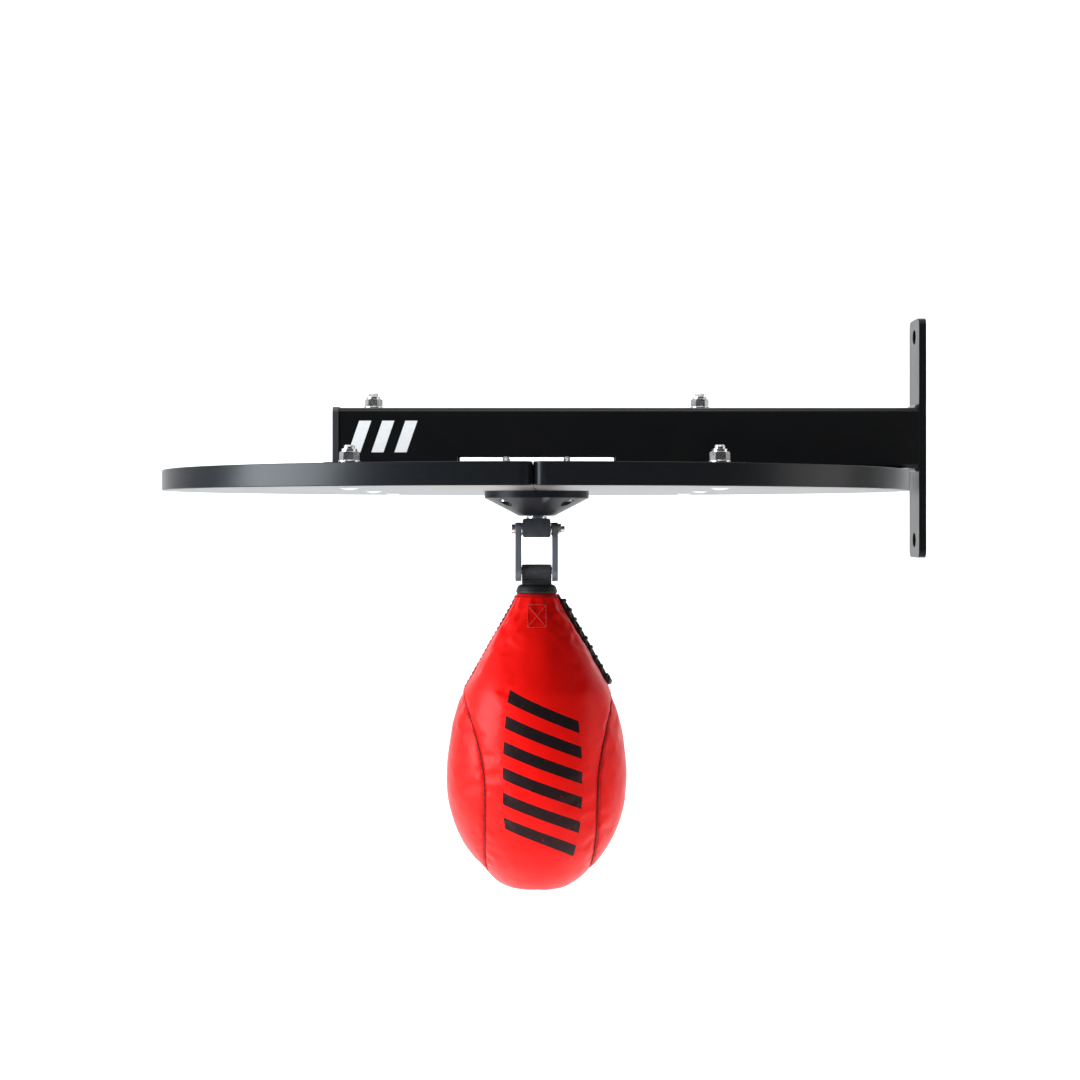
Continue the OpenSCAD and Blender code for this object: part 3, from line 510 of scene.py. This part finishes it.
def make_meridian(rows):
    """Evenly spaced (radius, z) from the neck to the middle of the base, with its corners softened."""
    heights = [NECK_Z + (BASE_Z - NECK_Z) * i / 400 for i in range(401)]
    raw = [(radius_at(z), z) for z in heights]
    raw += [(BASE_R * (1 - i / 60), BASE_Z) for i in range(1, 61)]
    pts = np.array(raw)
    step = np.r_[0, np.cumsum(np.hypot(*np.diff(pts, axis=0).T))]
    fine = np.linspace(0, step[-1], 900)
    r, z = np.interp(fine, step, pts[:, 0]), np.interp(fine, step, pts[:, 1])
    kernel = np.hanning(31)
    kernel /= kernel.sum()
    rp = np.r_[2 * r[0] - r[15:0:-1], r, -r[-2:-17:-1]]
    zp = np.r_[2 * z[0] - z[15:0:-1], z, z[-2:-17:-1]]
    r, z = np.convolve(rp, kernel, "valid"), np.convolve(zp, kernel, "valid")
    pick = np.linspace(0, 899, rows)
    return np.interp(pick, np.arange(900), r), np.interp(pick, np.arange(900), z)


ROWS = 112
MER_R, MER_Z = make_meridian(ROWS)
MER_R[-1] = 0.0004


def lens_angle(r, z):
    """Half angle of a side panel, measured from the bag's side axis, or 0 outside the panel."""
    dz = z - LENS_Z
    if abs(dz) >= LENS_H or r < 1e-4:
        return 0.0
    w = math.sqrt(LENS_R ** 2 - dz ** 2) - (LENS_R - LENS_W)
    return math.asin(min(w / r, 1.0)) if w > 0 else 0.0


def bag_point(angle, r, z):
    """A point at an angle about the bag's axis, a radius and a height."""
    a = angle + TURN
    return Vector((BAG_X + r * math.cos(a), r * math.sin(a), z))


def mer_at(z_want):
    """Row position, with a fraction, where the meridian passes a height."""
    return float(np.interp(-z_want, -MER_Z[:ROWS - 14], np.arange(ROWS - 14)))


def mer_point(row):
    """Radius and height of the outline at a row, which may have a fraction."""
    return float(np.interp(row, np.arange(ROWS), MER_R)), float(np.interp(row, np.arange(ROWS), MER_Z))


def mer_normal(row):
    """The outward direction of the outline at a row, as radius and height."""
    r0, z0 = mer_point(max(row - 0.6, 0))
    r1, z1 = mer_point(min(row + 0.6, ROWS - 1))
    d = math.hypot(r1 - r0, z1 - z0)
    return (-(z1 - z0) / d, (r1 - r0) / d)


COLS_MAIN, COLS_SIDE = 84, 44
ALPHA = [lens_angle(MER_R[i], MER_Z[i]) for i in range(ROWS)]
SIDE_ROWS = [i for i in range(ROWS) if ALPHA[i] > 0.0]
S0, S1 = SIDE_ROWS[0], SIDE_ROWS[-1]


def spread(u):
    """Packs columns closer together near a panel's edges, where the seams are."""
    return math.sin(u * math.pi / 2) * 0.35 + u * 0.65


def build_shell():
    """One welded shell with the four panels' own grids, so that the seams run along its edges."""
    verts, index = [], {}
    grids = {}

    def vertex(angle, row):
        r, z = MER_R[row], MER_Z[row]
        key = (row, round(math.degrees(angle) % 360, 3)) if r > 0.0005 else (row, 0)
        if key not in index:
            index[key] = len(verts)
            verts.append(bag_point(angle, r, z))
        return index[key]

    def across(mid, half, row, columns):
        return [vertex(mid + half * spread(-1 + 2 * c / columns), row) for c in range(columns + 1)]

    for name, mid in (("front_panel", -math.pi / 2), ("back_panel", math.pi / 2)):
        grid = []
        for row in range(ROWS):
            grid.append(across(mid, math.pi / 2 - ALPHA[row], row, COLS_MAIN))
        grids[name] = grid
    for name, mid in (("right_side_panel", 0.0), ("left_side_panel", math.pi)):
        grid = []
        for row in range(S0 - 1, S1 + 2):
            half = ALPHA[row] if S0 <= row <= S1 else 0.0
            if half == 0.0:
                grid.append([vertex(mid, row)] * (COLS_SIDE + 1))
            else:
                grid.append(across(mid, half, row, COLS_SIDE))
        grids[name] = grid
    return verts, grids


def grid_faces(grid):
    faces = []
    for r in range(len(grid) - 1):
        for c in range(len(grid[0]) - 1):
            quad = [grid[r][c], grid[r][c + 1], grid[r + 1][c + 1], grid[r + 1][c]]
            quad = [v for i, v in enumerate(quad) if v != quad[i - 1]]
            if len(set(quad)) > 2:
                faces.append(tuple(reversed(quad)))
    return faces


shell_verts, shell_grids = build_shell()
shell_faces = [f for g in shell_grids.values() for f in grid_faces(g)]


def seam_marks():
    """The indices of every vertex on a seam."""
    found = set()
    for name in ("front_panel", "back_panel"):
        for row in shell_grids[name]:
            found.update((row[0], row[-1]))
    return found


SEAM = seam_marks()
SEAM_POINTS = np.array([shell_verts[i] for i in sorted(SEAM)])
# The furthest that the cloth may carry a point from where it was drawn, and the frames that it is given.
SWELL_CAP, SWELL_FRAMES = 0.0011, 16


def inflate():
    """Blows the sewn shell up against its seams with a cloth simulation, and returns the moved points."""
    mesh = bpy.data.meshes.new("inflating")
    centre = Vector((BAG_X, 0, BELLY_Z))
    rng = random.Random(11)
    start = []
    for v in shell_verts:
        n = noise.noise(Vector(v) * 90) * 0.5 + noise.noise(Vector(v) * 260) * 0.25
        inward = (centre - v).normalized() * (0.0008 + 0.0005 * n)
        start.append(v + inward + Vector((0, 0, 1e-6 * rng.random())))
    mesh.from_pydata([tuple(v) for v in start], [], shell_faces)
    mesh.update()
    obj = bpy.data.objects.new("inflating", mesh)
    bpy.context.scene.collection.objects.link(obj)
    pinned = obj.vertex_groups.new(name="seams")
    for i in SEAM:
        pinned.add([i], 1.0, "REPLACE")
    for name in ("front_panel", "back_panel"):
        for row in (0, 1, ROWS - 1):
            for i in shell_grids[name][row]:
                pinned.add([i], 1.0, "REPLACE")
    cloth = obj.modifiers.new("cloth", "CLOTH")
    s = cloth.settings
    s.quality = 6
    s.mass = 0.35
    s.tension_stiffness = s.compression_stiffness = 18
    s.shear_stiffness = 8
    s.bending_stiffness = 1.2
    s.use_pressure = True
    s.uniform_pressure_force = 3.2
    s.vertex_group_mass = "seams"
    s.shrink_min = -0.012
    s.effector_weights.gravity = 0
    cloth.collision_settings.use_collision = False
    scene = bpy.context.scene
    cloth.point_cache.frame_start, cloth.point_cache.frame_end = 1, SWELL_FRAMES
    for f in range(1, SWELL_FRAMES + 1):
        scene.frame_set(f)
    done = obj.evaluated_get(bpy.context.evaluated_depsgraph_get())
    moved = [v.co.copy() for v in done.data.vertices]
    out = []
    for v, m in zip(shell_verts, moved):
        step = m - v
        if step.length > SWELL_CAP:
            step *= SWELL_CAP / step.length
        out.append(v + step * max(0.0, min((NECK_Z - v.z) / 0.006, 1.0)))
    scene.frame_set(1)
    bpy.data.objects.remove(obj)
    bpy.data.meshes.remove(mesh)
    return out


inflated = inflate()


def dist_to_seam(points):
    """Each point's distance from the nearest point on a seam."""
    pts = np.array(points)
    out = np.empty(len(pts))
    for i in range(0, len(pts), 400):
        d = pts[i:i + 400, None, :] - SEAM_POINTS[None]
        out[i:i + 400] = np.sqrt((d * d).sum(-1).min(1))
    return out


SEAM_DIST = dist_to_seam(shell_verts)


def dress(v, i):
    """Seam valleys, puckers along them, gathers at the neck and the slow unevenness of stretched leather."""
    d = SEAM_DIST[i]
    axis = Vector((BAG_X, 0, min(v.z, BELLY_Z + 0.03)))
    if v.z < BELLY_Z:
        axis.z = BELLY_Z
    out = (v - axis).normalized()
    along = v.z * 900 + math.atan2(v.y, v.x - BAG_X) * 30
    pucker = noise.noise(Vector((along * 0.32, 3.1, d * 60))) * math.exp(-d / 0.006) * 0.00075
    valley = -0.0010 * math.exp(-(d / 0.0018) ** 2)
    crown = 0.0006 * (1 - math.exp(-d / 0.012))
    angle = math.atan2(v.y, v.x - BAG_X)
    from_neck = (NECK_Z - v.z)
    sway = 2 * noise.noise(Vector((angle * 2, 0, v.z * 30)))
    gather = math.exp(-from_neck / 0.020) * 0.0009 * math.sin(angle * 13 + sway)
    slow = noise.noise(Vector(v) * 26) * 0.0006 + noise.noise(Vector(v) * 75) * 0.00022
    fade = min(from_neck / 0.006, 1.0)
    return v + out * ((pucker + valley + crown + slow) * fade + gather * fade)


dressed = [dress(v, i) for i, v in enumerate(inflated)]


def make_panel(name, material):
    """One leather panel of the swelled bag, with its thickness, a painted shade along its seams and a map for
    the bars.
    """
    grid = shell_grids[name]
    faces = grid_faces(grid)
    used = sorted({i for f in faces for i in f})
    back = {v: k for k, v in enumerate(used)}
    verts = [dressed[i] for i in used]
    obj = new_object("leather_" + name, verts, [tuple(back[i] for i in f) for f in faces], material, "bag")
    mesh = obj.data
    # The seam attribute carries the painted shade along the seams: 1 on a seam, fading out within about a
    # millimetre.
    attr = mesh.attributes.new("seam", "FLOAT", "POINT")
    attr.data.foreach_set("value", [math.exp(-(SEAM_DIST[i] / 0.0010) ** 2) for i in used])
    uv = mesh.uv_layers.new(name="mark")
    for loop in mesh.loops:
        co = mesh.vertices[loop.vertex_index].co
        turned = math.atan2(co.x - BAG_X, -co.y) - TURN
        uv.data[loop.index].uv = (turned * MARK_R, co.z - MARK_Z)
    thick = obj.modifiers.new("thickness", "SOLIDIFY")
    thick.thickness = 0.0018
    thick.offset = -1
    sub = obj.modifiers.new("subdivision", "SUBSURF")
    sub.levels = sub.render_levels = 1
    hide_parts(name)


make_panel("front_panel", M["red_mark"])
for plain in ("back_panel", "left_side_panel", "right_side_panel"):
    make_panel(plain, M["red"])

# ---------------------------------------------------------------- seams and stitching


def surface(angle, row, lift=0.0):
    """A point on the bag, lifted off its surface, at an angle about its own axis and a meridian row."""
    r, z = mer_point(row)
    nr, nz = mer_normal(row)
    return bag_point(angle, max(r + nr * lift, 0.0), z + nz * lift)


def lens_path(mid, side, steps=150):
    """(angle, row) along one edge of a side panel, from its upper tip to its lower tip."""
    out = []
    for i in range(steps + 1):
        row = S0 + (S1 - S0) * i / steps
        r, z = mer_point(row)
        out.append((mid + side * lens_angle(r, z), row))
    return out


def evenly(path, lift, pitch):
    """Walks (angle, row) points on the bag and returns 3D points at an even pitch."""
    pts = np.array([surface(a, w, lift) for a, w in path])
    step = np.r_[0, np.cumsum(np.linalg.norm(np.diff(pts, axis=0), axis=1))]
    n = max(int(step[-1] / pitch), 2)
    at = np.linspace(0, step[-1], n + 1)
    return [Vector([np.interp(d, step, pts[:, k]) for k in range(3)]) for d in at]


def seam_paths():
    """Every seam as (angle, row) points: round both side panels, and up and down from their tips."""
    paths = []
    for mid in (0.0, math.pi):
        for side in (-1, 1):
            paths.append(lens_path(mid, side))
    paths.append([(math.pi, w) for w in np.linspace(1.0, S0, 60)])
    below_slit = mer_at(-203 * MM)
    paths.append([(0.0, w) for w in np.linspace(below_slit, S0, 8)])
    for mid in (0.0, math.pi):
        paths.append([(mid, w) for w in np.linspace(S1, ROWS - 1.5, 50)])
    return paths


# In metres: the welt's radius and depth, then a seam stitch's radius, pitch and distance from the seam.
WELT_R, WELT_SINK = 0.00042, 0.0009
SEAM_STITCH_R, SEAM_PITCH, SEAM_GAP = 0.00027, 0.0021, 0.0016


def make_seams():
    """A thin dark red welt sunk in each seam, and a row of stitches on both sides of it."""
    wv, wf, tv, tf = [], [], [], []
    for path in seam_paths():
        tube(evenly(path, -WELT_SINK, 0.0025), WELT_R, 8, wv, wf)
        mid = evenly(path, -0.0001, SEAM_PITCH)
        for side in (-1, 1):
            for i in range(0, len(mid) - 2, 2):
                a, b = mid[i], mid[i + 1]
                outward = (a - Vector((BAG_X, 0, BELLY_Z if a.z < BELLY_Z else a.z))).normalized()
                across = (b - a).cross(outward).normalized() * (SEAM_GAP * side)
                move = across - outward * 0.0001
                capsule(a + move, b + move, SEAM_STITCH_R, tv, tf, 6)
    welt = new_object("seam_welts", wv, wf, M["thread_dark"], "bag")
    stitches = new_object("seam_stitches", tv, tf, M["thread_dark"], "bag")


make_seams()


def stitch_line(a, b, r, gap, verts, faces, where):
    """Stitches from a to b, given as flat (across, down) positions that where() places on a surface."""
    length = math.hypot(b[0] - a[0], b[1] - a[1])
    n = max(int(length / gap), 1)
    for i in range(n):
        t0, t1 = (i + 0.12) / n, (i + 0.80) / n
        p = where(a[0] + (b[0] - a[0]) * t0, a[1] + (b[1] - a[1]) * t0)
        q = where(a[0] + (b[0] - a[0]) * t1, a[1] + (b[1] - a[1]) * t1)
        capsule(p, q, r, verts, faces, 7)


def make_patch_stitches():
    """The stitched box with crossed diagonals that holds each webbing end, and the row under the collar."""
    verts, faces = [], []
    for mid in (-math.pi / 2, math.pi / 2):
        def where(across, down, mid=mid):
            row = mer_at(down)
            r, _ = mer_point(row)
            return surface(mid - TURN * 0.8 + across / r, row, 0.00045)
        top, low, half = -137.5 * MM, -155.5 * MM, 7.6 * MM
        corners = [(-half, top), (half, top), (half, low), (-half, low)]
        for i, j in ((0, 1), (1, 2), (2, 3), (3, 0), (0, 2), (1, 3)):
            stitch_line(corners[i], corners[j], 0.00042, 0.0026, verts, faces, where)
    obj = new_object("patch_stitches", verts, faces, M["thread_pale"], "bag")
    verts, faces = [], []
    row = mer_at(-131.6 * MM)
    r, _ = mer_point(row)
    count = int(2 * math.pi * r / 0.0029)
    for i in range(count):
        a0, a1 = 2 * math.pi * (i + 0.1) / count, 2 * math.pi * (i + 0.8) / count
        if abs(math.remainder(a0, 2 * math.pi)) > 0.36:
            capsule(surface(a0, row, 0.0006), surface(a1, row, 0.0006), 0.00042, verts, faces, 7)
    new_object("neck_stitches", verts, faces, M["thread_dark"], "bag")


make_patch_stitches()

# ---------------------------------------------------------------- laced slit


def strip(name, rows, inner, outer, side, lift, thick):
    """A rounded leather strip that follows the bag beside the slit, from inner to outer across it."""
    verts, faces = [], []
    ring = 12
    for w in rows:
        r, _ = mer_point(w)
        for k in range(ring):
            a = 2 * math.pi * k / ring
            across = (inner + outer) / 2 + (outer - inner) / 2 * soften(math.cos(a), 0.55)
            up = lift + thick / 2 + thick / 2 * soften(math.sin(a), 0.7)
            verts.append(surface(side * across / r, w, up))
    skin(len(rows), ring, faces)
    obj = new_object(name, verts, faces, M["black_leather"], "bag")
    return obj


binding_rows = [mer_at(z) for z in np.linspace(-130.5 * MM, -205.0 * MM, 60)]
near = strip("binding_front", binding_rows, 1.6 * MM, 6.3 * MM, -1, -1.3 * MM, 2.8 * MM)
strip("binding_back", binding_rows, 1.6 * MM, 6.3 * MM, 1, -1.3 * MM, 2.8 * MM)
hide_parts("slit_binding")
tongue_rows = [mer_at(z) for z in np.linspace(-131 * MM, -203 * MM, 50)]
tongue = strip("tongue", tongue_rows, -6.0 * MM, 6.0 * MM, 1, -3.0 * MM, 1.0 * MM)
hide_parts("slit_tongue")


def make_lace():
    """A round lace: bars across the slit between eyelets, slanting runs between them, and a knot below."""
    verts, faces = [], []
    ev, ef = [], []
    count = 9
    zs = np.linspace(-136.5 * MM, -199.0 * MM, count)
    reach, cord_r, slant_r = 4.0 * MM, 0.0017, 0.0015
    eyelet_across, eyelet_down, eyelet_r = 0.0023, 0.0020, 0.0005
    for i, z in enumerate(zs):
        row = mer_at(z)
        r, _ = mer_point(row)
        wobble = 0.5 * MM * math.sin(i * 2.1)
        pts = []
        for t in np.linspace(-1, 1, 15):
            hump = 0.0016 + 0.0013 * (1 - t * t) ** 0.5 + 0.0003 * math.sin(i * 1.7)
            if abs(t) > 0.99:
                hump = 0.0002
            row_t = mer_at(z + wobble * t)
            pts.append(surface(t * reach * 1.12 / r, row_t, hump))
        tube(pts, cord_r, 12, verts, faces)
        for side in (-1, 1):
            ring = []
            for k in range(17):
                a = 2 * math.pi * k / 16
                across = side * reach * 1.1 + eyelet_across * math.cos(a)
                ring.append(surface(across / r, mer_at(z + eyelet_down * math.sin(a)), 0.0016))
            tube(ring, eyelet_r, 6, ev, ef)
        if i < count - 1:
            side = 1 if i % 2 == 0 else -1
            row2 = mer_at(zs[i + 1])
            r2, _ = mer_point(row2)
            slant = []
            for t in np.linspace(0, 1, 11):
                w = row + (row2 - row) * t
                rr = r + (r2 - r) * t
                lift = 0.0017 + 0.0004 * math.sin(math.pi * t)
                slant.append(surface(side * reach * (1 - 2 * t) / rr, w, lift))
            tube(slant, slant_r, 10, verts, faces)
    row = mer_at(-202.0 * MM)
    r, _ = mer_point(row)
    knot = []
    for a in np.linspace(0, 5.6, 20):
        lift = 0.0024 + 0.0009 * math.sin(2 * a)
        knot.append(surface(0.0034 * math.cos(a) / r, row + 1.1 * math.sin(a), lift))
    tube(knot, cord_r, 10, verts, faces)
    lace = new_object("lace_cord", verts, faces, M["lace"], "bag")
    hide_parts("bag_lace")
    new_object("lace_eyelets", ev, ef, M["black_leather"], "bag")


make_lace()

# ---------------------------------------------------------------- collar and webbing


def lathe(name, profile, centre, sides, wobble):
    """A ring turned from its (radius, height) profile, with a slow wobble in its radius."""
    verts, faces = [], []
    for r, z in profile:
        for k in range(sides):
            a = 2 * math.pi * k / sides
            w = 1 + wobble * noise.noise(Vector((math.cos(a) * 2, math.sin(a) * 2, z * 200)))
            verts.append(Vector(centre) + Vector((r * w * math.cos(a), r * w * math.sin(a), z)))
    for j in range(len(profile) - 1):
        for k in range(sides):
            a, b = j * sides + k, j * sides + (k + 1) % sides
            faces.append((a, b, b + sides, a + sides))
    faces.append(tuple(range(sides)))
    faces.append(tuple((len(profile) - 1) * sides + k for k in reversed(range(sides))))
    return new_object(name, verts, faces, M["black_leather"], "bag")


collar_profile = [(15.2, 0.2), (16.4, -0.6), (17.0, 0.0), (17.3, 0.9), (17.2, 2.0), (16.6, 3.0),
                  (16.5, 3.9), (16.1, 5.0), (15.2, 6.1), (14.0, 6.8), (13.3, 6.9)]
collar_metres = [(r * MM, z * MM) for r, z in collar_profile]
collar = lathe("collar_ring", collar_metres, (BAG_X, 0, NECK_Z), 96, 0.008)
sub = collar.modifiers.new("subdivision", "SUBSURF")
sub.levels = sub.render_levels = 1
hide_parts("top_collar")


def make_webbing():
    """One strap: up through the collar, over the pin and down again, sewn to itself below the loop."""
    pin_z, lean_r, wrap_r, half_gap, lean = -110.0, 4.3, 4.32, 1.02, 0.34
    path = []
    for z in (-131.0, -128.5, -126.0, -123.5, -121.0, -119.0, -117.0):
        path.append((half_gap, z))
    lean_y, lean_z = lean_r * math.cos(lean), pin_z - lean_r * math.sin(lean)
    for t in (0.25, 0.5, 0.75):
        path.append((half_gap + (lean_y - half_gap) * t, -117.0 + (lean_z + 117.0) * t))
    for i in range(25):
        a = -lean + (math.pi + 2 * lean) * i / 24
        path.append((wrap_r * math.cos(a), pin_z + wrap_r * math.sin(a)))
    for y, z in reversed(path[:10]):
        path.append((-y, z))
    pts = [Vector((BAG_X, y * MM, z * MM)) for y, z in path]
    verts, faces, uvs = [], [], []
    ring = 28
    half_w, half_t = 12.4 * MM, 0.95 * MM
    run = 0.0
    for i, p in enumerate(pts):
        t = (pts[min(i + 1, len(pts) - 1)] - pts[max(i - 1, 0)]).normalized()
        n = Vector((1, 0, 0)).cross(t).normalized()
        if i:
            run += (p - pts[i - 1]).length
        for k in range(ring):
            a = 2 * math.pi * (k + 0.5) / ring
            x = half_w * soften(math.cos(a), 0.30)
            y = half_t * soften(math.sin(a), 0.45)
            verts.append(p + Vector((1, 0, 0)) * x + n * y)
            uvs.append((x, run))
    skin(len(pts), ring, faces)
    obj = new_object("webbing_strap", verts, faces, M["webbing"], "bag")
    layer = obj.data.uv_layers.new(name="strap")
    for loop in obj.data.loops:
        layer.data[loop.index].uv = uvs[loop.vertex_index]
    s = obj.modifiers.new("subdivision", "SUBSURF")
    s.levels = s.render_levels = 1
    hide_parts("webbing_loop")
    verts, faces = [], []
    for y in (-2.05, 2.05):
        for z in (-117.7, -119.6):
            for i in range(9):
                begin = Vector((BAG_X + (-11.2 + i * 2.5) * MM, y * MM, z * MM))
                capsule(begin, begin + Vector((1.9 * MM, 0, 0)), 0.00036, verts, faces)
    new_object("webbing_stitches", verts, faces, M["thread_black"], "bag")


make_webbing()

# ---------------------------------------------------------------- generic paint marks on the arm


def arm_marks():
    """Three plain slanted bars on each side of the arm."""
    verts, faces = [], []
    for side in (-1, 1):
        y = side * (19.0 * MM + 0.00008)
        for i in range(3):
            x0 = -476 * MM + i * 19 * MM
            low, high, lean, width = -12 * MM, 14 * MM, 9 * MM, 10 * MM
            base = len(verts)
            flat = [(x0, low), (x0 + width, low), (x0 + width + lean, high), (x0 + lean, high)]
            for x, z in flat:
                verts.append(Vector((x, y, z)))
            for x, z in flat:
                verts.append(Vector((x, y - side * 0.00012, z)))
            faces += [(base, base + 1, base + 2, base + 3), (base + 7, base + 6, base + 5, base + 4)]
            for k in range(4):
                j = (k + 1) % 4
                faces.append((base + k, base + 4 + k, base + 4 + j, base + j))
    obj = new_object("arm_marks", verts, faces, M["mark"], "bracket", smooth=False)


arm_marks()

# ---------------------------------------------------------------- floor, backdrop and light


def stage_material():
    m = Nodes("stage")
    grey = m.mix(m.noise(m.coords(), 3.0, 2), (0.86, 0.86, 0.86), (0.88, 0.88, 0.88))
    return m.done(grey, 0.9)


def make_stage():
    verts, faces = [], []
    floor_z, back_y, radius, wide = -1.05, 2.6, 1.2, 7.0
    profile = [(-6.0, floor_z), (back_y - radius, floor_z)]
    for i in range(1, 17):
        a = math.pi / 2 * i / 16
        profile.append((back_y - radius + radius * math.sin(a), floor_z + radius - radius * math.cos(a)))
    profile.append((back_y, 5.0))
    for x in (-wide, wide):
        for y, z in profile:
            verts.append((x, y, z))
    n = len(profile)
    for i in range(n - 1):
        faces.append((i, i + 1, n + i + 1, n + i))
    mesh = bpy.data.meshes.new("floor")
    mesh.from_pydata(verts, [], faces)
    mesh.polygons.foreach_set("use_smooth", [True] * len(mesh.polygons))
    mesh.materials.append(stage_material())
    obj = bpy.data.objects.new("floor", mesh)
    bpy.context.scene.collection.objects.link(obj)


make_stage()


def area_light(name, place, target, size, power, color=(1, 1, 1), size_y=None):
    data = bpy.data.lights.new(name, "AREA")
    data.energy = power
    data.color = color
    data.shape = "RECTANGLE"
    data.size = size
    data.size_y = size_y or size
    obj = bpy.data.objects.new(name, data)
    obj.location = place
    obj.rotation_euler = (Vector(target) - Vector(place)).to_track_quat("-Z", "Y").to_euler()
    bpy.context.scene.collection.objects.link(obj)


MIDDLE = (-0.32, 0.0, -0.12)
area_light("key_left", (-2.15, -0.62, 0.25), MIDDLE, 1.20, 84, (0.86, 0.94, 1.0), 1.35)
area_light("fill_right", (1.9, -0.25, 0.2), MIDDLE, 1.2, 12, (1.0, 0.98, 0.95), 1.4)
area_light("front", (-0.35, -1.50, 1.60), (-0.32, 0.0, -0.25), 1.2, 25)
area_light("back_left", (-1.8, 1.6, 0.6), MIDDLE, 1.0, 1.5)
area_light("back_right", (1.4, 1.7, 0.6), MIDDLE, 1.0, 1.5)
area_light("backdrop_wash", (-0.35, 1.0, 2.4), (-0.35, 2.6, 0.1), 2.4, 46)
area_light("floor_wash", (-0.3, 1.6, 0.9), (-0.3, 2.2, -1.05), 2.6, 18)


def smooth_step(tree, source, ends, levels):
    """Goes from the first level to the second as source goes from one of its two ends to the other."""
    node = tree.nodes.new("ShaderNodeMapRange")
    node.interpolation_type = "SMOOTHSTEP"
    for name, value in zip(("From Min", "From Max", "To Min", "To Max"), (*ends, *levels)):
        node.inputs[name].default_value = value
    tree.links.new(source, node.inputs[0])
    return node.outputs[0]


def make_world():
    """A bright ceiling over walls that fall to near black behind the camera, as a studio's dark side does."""
    world = bpy.data.worlds.new("studio")
    bpy.context.scene.world = world
    world.use_nodes = True
    tree = world.node_tree
    background = tree.nodes["Background"]
    coords = tree.nodes.new("ShaderNodeTexCoord")
    parts = tree.nodes.new("ShaderNodeSeparateXYZ")
    tree.links.new(coords.outputs["Generated"], parts.inputs[0])
    walls = smooth_step(tree, parts.outputs["Y"], (-0.55, 0.85), (0.012, 0.22))
    ceiling = smooth_step(tree, parts.outputs["Z"], (0.30, 0.80), (0.0, 1.15))
    both = tree.nodes.new("ShaderNodeMath")
    both.operation = "MAXIMUM"
    tree.links.new(walls, both.inputs[0])
    tree.links.new(ceiling, both.inputs[1])
    path = tree.nodes.new("ShaderNodeLightPath")
    pick = tree.nodes.new("ShaderNodeMix")
    tree.links.new(path.outputs["Is Camera Ray"], pick.inputs[0])
    tree.links.new(both.outputs[0], pick.inputs[2])
    pick.inputs[3].default_value = 1.0
    tree.links.new(pick.outputs[0], background.inputs[1])
    background.inputs[0].default_value = (1.0, 1.0, 1.0, 1.0)


make_world()
bpy.context.scene.view_settings.view_transform = "Standard"
